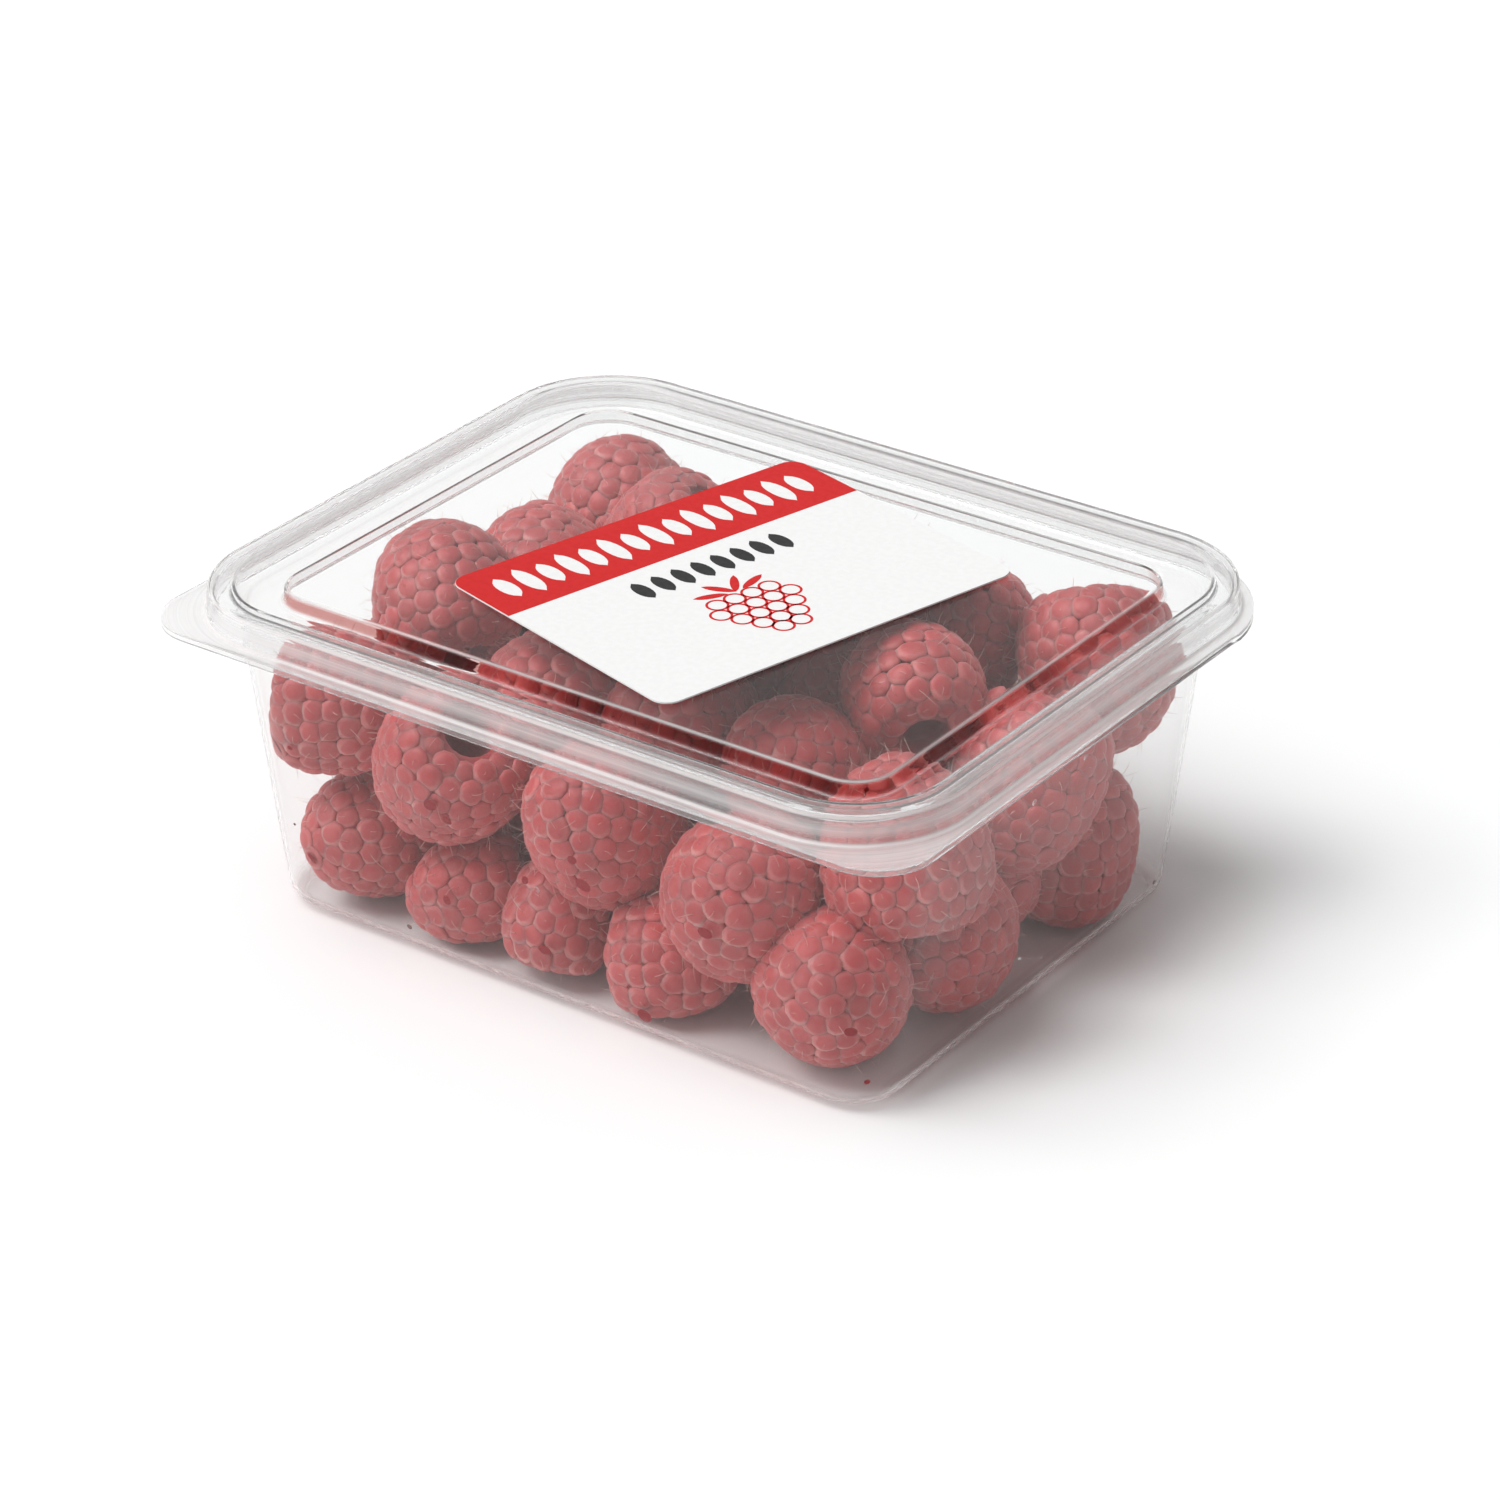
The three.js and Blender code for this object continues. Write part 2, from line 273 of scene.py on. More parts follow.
# ---- node helpers -------------------------------------------------------------------------------------
class Nodes:
    """A short way to add and link nodes in one node tree."""

    def __init__(self, tree: bpy.types.NodeTree) -> None:
        """Starts from a tree, keeping the nodes that it has."""
        self.tree = tree

    def add(self, kind: str, **values: object) -> bpy.types.Node:
        """Adds a node.

        Args:
            kind: the node's type.
            values: property values by name. A name with in_ in front sets an input, with _ for a space.

        Returns:
            The new node.
        """
        node = self.tree.nodes.new(kind)
        for name, value in values.items():
            if name.startswith("in_"):
                node.inputs[name[3:].replace("_", " ")].default_value = value
            else:
                setattr(node, name, value)
        return node

    def link(self, source: bpy.types.NodeSocket, target: bpy.types.NodeSocket) -> None:
        """Links an output to an input."""
        self.tree.links.new(source, target)

    def feed(self, target: bpy.types.NodeSocket, value: object) -> None:
        """Gives an input its value.

        Args:
            target: the input.
            value: a socket to link, an RGB colour or a number.
        """
        if isinstance(value, bpy.types.NodeSocket):
            self.link(value, target)
        elif isinstance(value, tuple):
            target.default_value = (*value, 1.0)
        else:
            target.default_value = value

    def grain(
        self, heights: bpy.types.NodeSocket, shader: bpy.types.Node, strength: float, depth: float
    ) -> None:
        """Gives a shader a fine grain.

        Args:
            heights: the grain's heights.
            shader: the shader that gets it.
            strength: how strongly it shows.
            depth: how deep it is, in metres.
        """
        bump = self.add("ShaderNodeBump", in_Strength=strength, in_Distance=depth)
        self.link(heights, bump.inputs["Height"])
        self.link(bump.outputs[0], shader.inputs["Normal"])

    def value(self, attribute: str) -> bpy.types.NodeSocket:
        """Gives the output of a piece's own attribute."""
        node = self.add("ShaderNodeAttribute", attribute_name=attribute)
        return node.outputs["Fac"]

    def math(self, operation: str, *given: object, clamp: bool = False) -> bpy.types.NodeSocket:
        """Adds a Math node.

        Args:
            operation: what it does.
            given: what it works on, each a socket or a number.
            clamp: whether the result is kept from 0 to 1.

        Returns:
            The result's socket.
        """
        node = self.add("ShaderNodeMath", operation=operation, use_clamp=clamp)
        for place, value in enumerate(given):
            self.feed(node.inputs[place], value)
        return node.outputs[0]

    def mix(self, factor: object, first: object, second: object) -> bpy.types.NodeSocket:
        """Mixes two colours.

        Args:
            factor: a socket or a number, 0 for the first colour.
            first: a socket or an RGB colour.
            second: a socket or an RGB colour.

        Returns:
            The mixed colour's socket.
        """
        node = self.add("ShaderNodeMix", data_type="RGBA")
        for place, value in ((0, factor), (6, first), (7, second)):
            self.feed(node.inputs[place], value)
        return node.outputs[2]

    def ramp(self, source: bpy.types.NodeSocket, low: float, high: float) -> bpy.types.NodeSocket:
        """Maps low..high smoothly onto 0..1.

        Args:
            source: the value's socket.
            low: what becomes 0.
            high: what becomes 1.

        Returns:
            The mapped value's socket.
        """
        node = self.add("ShaderNodeMapRange", interpolation_type="SMOOTHSTEP")
        node.inputs["From Min"].default_value = low
        node.inputs["From Max"].default_value = high
        self.link(source, node.inputs["Value"])
        return node.outputs["Result"]


def new_group(name: str, inputs: dict[str, float], outputs: tuple[str, ...]) -> bpy.types.NodeTree:
    """Starts a node group whose sockets are numbers.

    Args:
        name: the group's name.
        inputs: the inputs' names with their starting values.
        outputs: the outputs' names.

    Returns:
        The group, still without nodes.
    """
    group = bpy.data.node_groups.new(name, "ShaderNodeTree")
    for label, start in inputs.items():
        socket = group.interface.new_socket(name=label, in_out="INPUT", socket_type="NodeSocketFloat")
        socket.default_value = start
    for label in outputs:
        group.interface.new_socket(name=label, in_out="OUTPUT", socket_type="NodeSocketFloat")
    return group


def unevenness_group() -> bpy.types.NodeTree:
    """Makes the group that every finish uses for its uneven look.

    Returns:
        A group with the inputs Scale, Low and High and the outputs Patches, from 0 to 1, and Height.
    """
    name = "Uneven surface"
    if name in bpy.data.node_groups:
        return bpy.data.node_groups[name]
    group = new_group(name, {"Scale": 400.0, "Low": 0.35, "High": 0.65}, ("Patches", "Height"))
    nodes = Nodes(group)
    entry = nodes.add("NodeGroupInput")
    leave = nodes.add("NodeGroupOutput")
    place = nodes.add("ShaderNodeTexCoord")
    broad = nodes.add("ShaderNodeTexNoise", in_Detail=2.0, in_Roughness=0.5)
    nodes.link(place.outputs["Object"], broad.inputs["Vector"])
    nodes.link(entry.outputs["Scale"], broad.inputs["Scale"])
    spread = nodes.add("ShaderNodeMapRange", interpolation_type="SMOOTHSTEP")
    nodes.link(broad.outputs["Fac"], spread.inputs["Value"])
    nodes.link(entry.outputs["Low"], spread.inputs["From Min"])
    nodes.link(entry.outputs["High"], spread.inputs["From Max"])
    nodes.link(spread.outputs["Result"], leave.inputs["Patches"])
    fine = nodes.add("ShaderNodeTexNoise", in_Detail=3.0, in_Roughness=0.6)
    nodes.link(place.outputs["Object"], fine.inputs["Vector"])
    nodes.link(nodes.math("MULTIPLY", entry.outputs["Scale"], GRAIN_FINENESS), fine.inputs["Scale"])
    nodes.link(fine.outputs["Fac"], leave.inputs["Height"])
    return group


def uneven(nodes: Nodes, scale: float, low: float = 0.35, high: float = 0.65) -> bpy.types.Node:
    """Places the unevenness group in a material with its own values.

    Args:
        nodes: the material's nodes.
        scale: how fine the patches are, per metre.
        low: the noise that becomes 0.
        high: the noise that becomes 1.

    Returns:
        The group's node.
    """
    node = nodes.add("ShaderNodeGroup", node_tree=unevenness_group())
    node.inputs["Scale"].default_value = scale
    node.inputs["Low"].default_value = low
    node.inputs["High"].default_value = high
    return node


def new_material(name: str) -> tuple[bpy.types.Material, Nodes, bpy.types.Node]:
    """Starts a material.

    Args:
        name: the material's name.

    Returns:
        The material, its nodes and its main shader.
    """
    material = bpy.data.materials.new(name)
    material.use_nodes = True
    shader = material.node_tree.nodes["Principled BSDF"]
    return material, Nodes(material.node_tree), shader


# ---- finishes -----------------------------------------------------------------------------------------
def streak_group() -> bpy.types.NodeTree:
    """Makes the group of fine lines that run along a formed rim.

    Returns:
        A group with the output Streaks, from 0 to 1, for pieces that keep an outset on their points.
    """
    name = "Drawn streaks"
    if name in bpy.data.node_groups:
        return bpy.data.node_groups[name]
    group = new_group(name, {}, ("Streaks",))
    nodes = Nodes(group)
    leave = nodes.add("NodeGroupOutput")
    place = nodes.add("ShaderNodeTexCoord")
    split = nodes.add("ShaderNodeSeparateXYZ")
    nodes.link(place.outputs["Object"], split.inputs[0])
    across = nodes.math("MULTIPLY", nodes.value("outset"), STREAKS_ACROSS)
    upwards = nodes.math("MULTIPLY", split.outputs["Z"], STREAKS_UP)
    onwards = nodes.math("ADD", split.outputs["X"], split.outputs["Y"])
    lines = nodes.add("ShaderNodeCombineXYZ")
    for index, socket in enumerate((across, upwards, nodes.math("MULTIPLY", onwards, STREAKS_ALONG))):
        nodes.link(socket, lines.inputs[index])
    noise = nodes.add("ShaderNodeTexNoise", in_Scale=1.0, in_Detail=3.0, in_Roughness=0.6)
    nodes.link(lines.outputs[0], noise.inputs["Vector"])
    nodes.link(nodes.ramp(noise.outputs["Fac"], 0.3, 0.7), leave.inputs["Streaks"])
    return group


@dataclass(frozen=True)
class ClearPlastic:
    """Thin clear sheet that lets the lamps through. A pale layer paints in whitening from forming and the
    highlights and reflections on its bends; a dark red tint paints in shade where a wall is marked.
    """

    name: str
    tint: tuple[float, float, float] = (0.985, 0.99, 0.99)
    lamp_tint: tuple[float, float, float] = (0.985, 0.985, 0.985)
    # colour of the pale layer, which paints in whitening and painted highlights and reflections
    whitening_and_highlight_colour: tuple[float, float, float] = (0.93, 0.91, 0.91)
    # painted shade: the dark red tint that darkens what is seen through a marked wall
    shade_tint: tuple[float, float, float] = (0.62, 0.30, 0.28)
    see_through: float = 0.3
    roughness: float = 0.015
    roughness_patches: float = 0.03
    ior: float = 1.5
    lamp_loss: float = 0.035
    grazing_power: float = 5.0
    patch_scale: float = 60.0
    plain_share: float = 0.75

    def material(self) -> bpy.types.Material:
        """Makes the material.

        Returns:
            The material.
        """
        material, nodes, shader = new_material(self.name)
        # painted shade: the sheet's colour turns dark red where the wall is marked
        nodes.link(nodes.mix(nodes.value("wall_shade"), self.tint, self.shade_tint), shader.inputs["Base Color"])
        shader.inputs["IOR"].default_value = self.ior
        shader.inputs["Transmission Weight"].default_value = 1.0
        patches = uneven(nodes, self.patch_scale)
        spread = nodes.math("MULTIPLY", patches.outputs["Patches"], self.roughness_patches)
        nodes.link(nodes.math("ADD", spread, self.roughness), shader.inputs["Roughness"])
        clear = nodes.add("ShaderNodeBsdfTransparent")
        facing = nodes.add("ShaderNodeLayerWeight", in_Blend=0.5)
        grazing = nodes.math("POWER", facing.outputs["Facing"], self.grazing_power)
        thrown_back = nodes.math("MULTIPLY_ADD", grazing, 1.0 - self.lamp_loss, self.lamp_loss, clamp=True)
        nodes.link(nodes.mix(thrown_back, self.lamp_tint, (0.0, 0.0, 0.0)), clear.inputs["Color"])
        streaks = nodes.add("ShaderNodeGroup", node_tree=streak_group())
        streaked = 1.0 - self.plain_share
        share = nodes.math("MULTIPLY_ADD", streaks.outputs["Streaks"], streaked, self.plain_share)
        # painted highlights: where a point is marked pale, a white diffuse and translucent layer paints in
        # whitening and the highlights and reflections on the sheet's bends
        pale = nodes.add("ShaderNodeMixShader", in_Fac=self.see_through)
        for place, kind in ((1, "ShaderNodeBsdfDiffuse"), (2, "ShaderNodeBsdfTranslucent")):
            side = nodes.add(kind, in_Color=(*self.whitening_and_highlight_colour, 1.0))
            nodes.link(side.outputs[0], pale.inputs[place])
        shown = nodes.add("ShaderNodeMixShader")
        nodes.link(nodes.math("MULTIPLY", nodes.value("pale"), share, clamp=True), shown.inputs[0])
        nodes.link(shader.outputs[0], shown.inputs[1])
        nodes.link(pale.outputs[0], shown.inputs[2])
        rays = nodes.add("ShaderNodeLightPath")
        passing = nodes.math("MAXIMUM", rays.outputs["Is Shadow Ray"], rays.outputs["Is Diffuse Ray"])
        mixed = nodes.add("ShaderNodeMixShader")
        nodes.link(passing, mixed.inputs[0])
        nodes.link(shown.outputs[0], mixed.inputs[1])
        nodes.link(clear.outputs[0], mixed.inputs[2])
        nodes.link(mixed.outputs[0], material.node_tree.nodes["Material Output"].inputs["Surface"])
        return material


@dataclass(frozen=True)
class BerryFlesh:
    """Ripe fruit: red flesh under a pale waxy film, with pale down on each drupelet's rim and wet spots. The
    rims are painted paler on the side that the light catches, a painted sheen of the down.
    """

    name: str = "raspberry_flesh"
    deep: tuple[float, float, float] = (0.35, 0.013, 0.018)
    bright: tuple[float, float, float] = (0.53, 0.028, 0.036)
    # pale colour of the waxy film and of the painted sheen on drupelet rims
    bloom_and_sheen: tuple[float, float, float] = (0.76, 0.34, 0.32)
    hollow: tuple[float, float, float] = (0.34, 0.022, 0.028)
    wet: tuple[float, float, float] = (0.26, 0.004, 0.008)
    face_bloom: float = 0.15
    # how pale the rims get: the down and its painted sheen
    rim_down_and_sheen: float = 0.46
    roughness: float = 0.5
    wet_roughness: float = 0.16
    sheen: float = 0.4
    glow: float = 0.5
    glow_reach: float = 0.002
    glow_colours: tuple[float, float, float] = (1.0, 0.22, 0.18)
    sheen_tint: tuple[float, float, float] = (1.0, 0.72, 0.70)
    sheen_roughness: float = 0.45
    shine: float = 0.35
    rim_starts: float = 0.17
    rim_full: float = 0.27
    patchy: tuple[float, float] = (0.65, 0.7)
    patch_scale: float = 500.0
    patch_limits: tuple[float, float] = (0.3, 0.7)
    grain: float = 0.25
    grain_depth: float = 0.0002

    def material(self) -> bpy.types.Material:
        """Makes the material.

        Returns:
            The material.
        """
        material, nodes, shader = new_material(self.name)
        flesh = nodes.mix(nodes.value("tone"), self.deep, self.bright)
        patches = uneven(nodes, self.patch_scale, *self.patch_limits)
        # painted sheen: the pale rim lines are weighted by the side value, stronger on the side facing down
        # and to the left, where the light catches the down
        edge = nodes.ramp(nodes.value("rim"), self.rim_starts, self.rim_full)
        rim = nodes.math("MULTIPLY", edge, nodes.value("side"))
        share = nodes.math("MULTIPLY_ADD", rim, self.rim_down_and_sheen, self.face_bloom)
        least, more = self.patchy
        spread = nodes.math("MULTIPLY_ADD", patches.outputs["Patches"], more, least)
        with_bloom_and_sheen = nodes.mix(nodes.math("MULTIPLY", share, spread, clamp=True), flesh, self.bloom_and_sheen)
        lined = nodes.mix(nodes.value("inside"), with_bloom_and_sheen, self.hollow)
        wet = nodes.value("wet")
        nodes.link(nodes.mix(wet, lined, self.wet), shader.inputs["Base Color"])
        drier = nodes.math("MULTIPLY", wet, self.wet_roughness - self.roughness)
        nodes.link(nodes.math("ADD", drier, self.roughness), shader.inputs["Roughness"])
        shader.inputs["Subsurface Weight"].default_value = self.glow
        shader.inputs["Subsurface Radius"].default_value = self.glow_colours
        shader.inputs["Subsurface Scale"].default_value = self.glow_reach
        shader.inputs["Sheen Weight"].default_value = self.sheen
        shader.inputs["Sheen Roughness"].default_value = self.sheen_roughness
        shader.inputs["Sheen Tint"].default_value = (*self.sheen_tint, 1.0)
        shader.inputs["Specular IOR Level"].default_value = self.shine
        nodes.grain(patches.outputs["Height"], shader, self.grain, self.grain_depth)
        return material


@dataclass(frozen=True)
class PlainFinish:
    """An opaque finish with patches of a second tone and a fine grain."""

    name: str
    colour: tuple[float, float, float]
    second: tuple[float, float, float]
    roughness: float = 0.5
    grain: float = 0.1
    scale: float = 300.0
    shine: float = 0.5
    grain_depth: float = 0.0001

    def material(self) -> bpy.types.Material:
        """Makes the material.

        Returns:
            The material.
        """
        material, nodes, shader = new_material(self.name)
        patches = uneven(nodes, self.scale)
        tone = nodes.mix(patches.outputs["Patches"], self.colour, self.second)
        nodes.link(tone, shader.inputs["Base Color"])
        shader.inputs["Roughness"].default_value = self.roughness
        shader.inputs["Specular IOR Level"].default_value = self.shine
        nodes.grain(patches.outputs["Height"], shader, self.grain, self.grain_depth)
        return material


# ---- section lines ------------------------------------------------------------------------------------
def beside(line: Line, distance: float) -> Line:
    """Finds the line at a distance on the right-hand side of a section's line.

    Args:
        line: points of outset and height.
        distance: how far beside it.

    Returns:
        The new line, with mitred corners.
    """
    points = [Vector(point) for point in line]
    moved = []
    for index, point in enumerate(points):
        before = point - points[index - 1] if index else points[1] - point
        after = points[index + 1] - point if index + 1 < len(points) else before
        sides = [Vector((way.y, -way.x)).normalized() for way in (before, after)]
        mitre = (sides[0] + sides[1]).normalized()
        moved.append(tuple(point + mitre * (distance / mitre.dot(sides[1]))))
    return moved


def rounded(line: Line, bends: tuple[float, ...], steps: int) -> Line:
    """Rounds the corners of a section's line.

    Args:
        line: points of outset and height.
        bends: the radius of the bend at each inner corner.
        steps: how many short lines make a bend.

    Returns:
        The line with bends in place of its inner corners.
    """
    points = [Vector(point) for point in line]
    made = [tuple(points[0])]
    for before, corner, after, radius in zip(points, points[1:], points[2:], bends):
        back, on = before - corner, after - corner
        turn = math.pi - back.angle(on)
        most = BEND_ROOM * min(back.length, on.length)
        reach = min(radius * math.tan(turn / 2), most)
        start, end = corner + back.normalized() * reach, corner + on.normalized() * reach
        for step in range(steps + 1):
            share = step / steps
            made.append(tuple(start.lerp(corner, share).lerp(corner.lerp(end, share), share)))
    made.append(tuple(points[-1]))
    return made


def rim_line(sizes: PackSizes) -> Line:
    """Gives the rim's upper line, from the foot of the plug over the bead to the flange's edge.

    Args:
        sizes: the pack's sizes.

    Returns:
        Points of outset and height.
    """
    return [
        (sizes.channel_end, sizes.channel_top),
        (sizes.bead_start, sizes.bead_top),
        (sizes.bead_end, sizes.bead_top),
        (sizes.skirt_foot, sizes.flange_top),
        (sizes.flange_end, sizes.flange_top),
    ]


def base_line(sizes: PackSizes, steps: int) -> Line:
    """Gives the rounding between the base and the wall.

    Args:
        sizes: the pack's sizes.
        steps: how many short lines make it.

    Returns:
        Points from the flat base outwards and up.
    """
    reach = sizes.base_rounding
    middle = sizes.base_outset - reach
    angles = [math.pi / 2 * step / steps for step in range(steps + 1)]
    return [(middle + reach * math.sin(angle), reach - reach * math.cos(angle)) for angle in angles]


# ---- the formed plastic -------------------------------------------------------------------------------
@dataclass(frozen=True)
class Paleness:
    """Where the sheet is painted pale, for whitening from forming and for painted highlights and reflections:
    a place on its section, its reach and its strength.
    """

    outset: float
    height: float
    reach: float
    share: float

    def at(self, outset: np.ndarray, height: np.ndarray) -> np.ndarray:
        """Gives the paleness at places on the section."""
        far = np.hypot(outset - self.outset, height - self.height) / self.reach
        return self.share * np.exp(-far * far)


# Painted highlights and a painted reflection: the white lines at the panel's edge, at both ends of the
# channel, on both edges of the bead and at the skirt's foot, and the pale band down the skirt; the broad weak
# spots are whitening of the sheet.
LID_PALENESS_AND_HIGHLIGHTS = (
    Paleness(-0.1, 56.4, 0.3, 0.85),
    Paleness(0.5, 53.6, 0.25, 0.50),
    Paleness(3.2, 53.6, 2.0, 0.08),
    Paleness(6.0, 53.7, 0.5, 0.22),
    Paleness(7.8, 57.2, 0.35, 0.50),
    Paleness(10.0, 57.5, 1.8, 0.08),
    Paleness(11.98, 56.95, 0.28, 0.95),
    Paleness(12.25, 55.2, 0.85, 0.42),
    Paleness(12.42, 54.3, 0.6, 0.25),
    Paleness(12.75, 52.75, 0.36, 0.95),
    Paleness(13.9, 52.5, 1.2, 0.38),
)
# The bright line along the base's rounding and the softer band round it are a painted highlight; the two weak
# spots on the rim are whitening of the sheet.
TRAY_PALENESS_AND_HIGHLIGHTS = (
    Paleness(9.5, 55.9, 2.6, 0.06),
    Paleness(12.3, 53.5, 2.0, 0.12),
    Paleness(0.28, 1.0, 0.8, 1.00),
    Paleness(0.9, 1.8, 1.8, 0.32),
)


@dataclass(frozen=True)
class PaintedWallShade:
    """Painted shade: a dark red tint on both faces of the plug's side wall, at the front and on the right,
    which darkens the fruit seen through it. Sizes in millimetres.
    """

    front: float = 38.0
    right: float = 52.0
    fades_in: float = 4.0
    wall_middle: float = -0.05
    wall_reach: float = 0.6
    foot: float = 53.9
    top: float = 56.0
    edge: float = 0.3

    def at(self, places: np.ndarray, outset: np.ndarray) -> np.ndarray:
        """Gives how strongly points take the painted shade.

        Args:
            places: the points, one a row.
            outset: how far outside the panel's outline each is.

        Returns:
            The painted shade of each, from 0 to 1.
        """
        onward = np.maximum(-places[:, 1] - self.front, places[:, 0] - self.right) / self.fades_in
        on_wall = np.abs(outset - self.wall_middle) < self.wall_reach
        height = places[:, 2]
        from_edge = np.minimum(self.top - height, height - self.foot) / self.edge
        return np.clip(onward, 0, 1) * on_wall * np.clip(from_edge, 0, 1)


@dataclass
class FormedSheet:
    """A part drawn from one clear sheet, ring by ring from its edge to its middle."""

    name: str
    line: Line
    edge: tuple[float, float]
    grows_up: bool
    paleness: tuple[Paleness, ...]
    haze: float = 0.0
    wall_shade: PaintedWallShade | None = None
    cuts: tuple[float, ...] = ()
    edge_ring: float = 0.3
    edge_left: float = 0.18
    # the trimmed edge is painted pale: its frosted cut, and painted light for the light that leaves the cut
    # edge
    edge_frost_and_painted_light: float = 0.3
    sharp_from: float = 32.0
    sizes: PackSizes = SIZES

    def outline(self, outset: float, height: float, front: float, rear: float) -> bpy.types.Object:
        """Adds one flat blank with rounded corners.

        Args:
            outset: how far outside the panel its sides are.
            height: its height.
            front: the radius of its two front corners.
            rear: the radius of its two rear corners.

        Returns:
            The blank.
        """
        half = Vector((self.sizes.panel_length / 2 + outset, self.sizes.panel_width / 2 + outset, 0)) * MM
        deselect_all()
        bpy.ops.mesh.primitive_plane_add(size=2, location=(0, 0, height * MM))
        blank = bpy.context.object
        blank.scale = (half.x, half.y, 1)
        apply_place(blank)
        for radius, side in ((front, -1), (rear, 1)):
            edit(blank)
            limit = half.y - NEARLY * MM
            select_vertices(blank, lambda vertex, side=side, limit=limit: vertex.co.y * side > limit)
            bpy.ops.mesh.bevel(
                offset_type="OFFSET", offset=radius * MM, segments=self.sizes.corner_steps,
                profile=0.5, affect="VERTICES", clamp_overlap=False,
            )
            leave_edit()
        return blank

    def flange(self) -> bpy.types.Object:
        """Makes the flange: the tabbed outer outline bridged to the skirt's foot.

        Returns:
            The flange, with the blank inside it.
        """
        start_outset, start_height = self.line[0]
        corner = self.sizes.panel_corner + start_outset
        inner = self.outline(start_outset, start_height, corner, corner)
        outer = self.outline(*self.edge, self.sizes.tab_corner, self.sizes.rear_corner)
        inner_count = len(inner.data.vertices)
        sheet = join([inner, outer], self.name)
        edit(sheet)
        bpy.ops.mesh.select_all(action="SELECT")
        bpy.ops.mesh.delete(type="ONLY_FACE")
        bpy.ops.mesh.select_mode(type="EDGE")
        bpy.ops.mesh.select_all(action="SELECT")
        bpy.ops.mesh.bridge_edge_loops()
        select_vertices(sheet, lambda vertex: vertex.index < inner_count)
        bpy.ops.mesh.edge_face_add()
        select_blank(sheet)
        bpy.ops.mesh.select_all(action="INVERT")
        bpy.ops.mesh.inset(thickness=self.edge_ring * MM, depth=0, use_boundary=True, use_even_offset=True)
        leave_edit()
        outward_up(sheet)
        return sheet

    def build(self) -> bpy.types.Object:
        """Shapes the blank by insets along the section and gives it its thickness.

        Returns:
            The formed part.
        """
        sheet = self.flange()
        edit(sheet)
        select_blank(sheet)
        for (outset, height), (next_outset, next_height) in zip(self.line, self.line[1:]):
            bpy.ops.mesh.inset(
                thickness=(outset - next_outset) * MM, depth=(next_height - height) * MM,
                use_even_offset=True, use_relative_offset=False, use_boundary=True,
            )
        for height in self.cuts:
            bpy.ops.mesh.select_all(action="SELECT")
            bpy.ops.mesh.bisect(plane_co=(0, 0, height * MM), plane_no=(0, 0, 1))
        leave_edit()
        outward_up(sheet)
        apply_modifier(
            sheet, "SOLIDIFY", thickness=self.sizes.sheet * MM, offset=1.0 if self.grows_up else -1.0,
            use_even_offset=True, use_quality_normals=True,
        )
        self.thin_edge(sheet)
        smooth(sheet, self.sharp_from)
        self.mark(sheet)
        return sheet

    def thin_edge(self, sheet: bpy.types.Object) -> None:
        """Thins the trimmed edge from below.

        Args:
            sheet: the formed sheet.
        """
        low = self.edge[1] - (0 if self.grows_up else self.sizes.sheet) + ON_LINE
        outset, height = self.outsets(sheet)
        under_edge = (height < low) & (outset > self.edge[0] - ON_LINE)
        edit(sheet)
        select_vertices(sheet, lambda vertex: under_edge[vertex.index])
        bpy.ops.transform.translate(value=(0, 0, (self.sizes.sheet - self.edge_left) * MM))
        leave_edit()

    def outsets(self, sheet: bpy.types.Object) -> tuple[np.ndarray, np.ndarray]:
        """Gives how far outside the panel's outline each point is, and its height.

        Args:
            sheet: the formed sheet.

        Returns:
            Both for each point, in millimetres.
        """
        places = np.array([vertex.co for vertex in sheet.data.vertices]) / MM
        over_x = np.abs(places[:, 0]) - (self.sizes.panel_length / 2 - self.sizes.panel_corner)
        over_y = np.abs(places[:, 1]) - (self.sizes.panel_width / 2 - self.sizes.panel_corner)
        past_corner = np.hypot(np.maximum(over_x, 0), np.maximum(over_y, 0))
        far = past_corner + np.minimum(np.maximum(over_x, over_y), 0)
        return far - self.sizes.panel_corner, places[:, 2]

    def mark(self, sheet: bpy.types.Object) -> None:
        """Stores each point's outset, its paleness, which paints whitening and highlights, and its painted
        shade.

        Args:
            sheet: the formed sheet.
        """
        outset, height = self.outsets(sheet)
        places = np.array([vertex.co for vertex in sheet.data.vertices]) / MM
        pale = self.haze + sum(spot.at(outset, height) for spot in self.paleness)
        pale = np.where(outset > self.edge[0] - ON_LINE, np.maximum(pale, self.edge_frost_and_painted_light), pale)
        wall_shade = self.wall_shade.at(places, outset) if self.wall_shade else np.zeros(len(places))
        for name, values in (("outset", outset), ("pale", np.clip(pale, 0, 1)), ("wall_shade", wall_shade)):
            attribute = sheet.data.attributes.new(name, "FLOAT", "POINT")
            attribute.data.foreach_set("value", values.astype(np.float32))


def outward_up(obj: bpy.types.Object) -> None:
    """Turns an open sheet so that its middle faces up.

    Args:
        obj: the open sheet.
    """
    outward(obj)
    largest = max(obj.data.polygons, key=lambda face: face.area)
    if largest.normal.z < 0:
        edit(obj)
        bpy.ops.mesh.select_all(action="SELECT")
        bpy.ops.mesh.flip_normals()
        leave_edit()


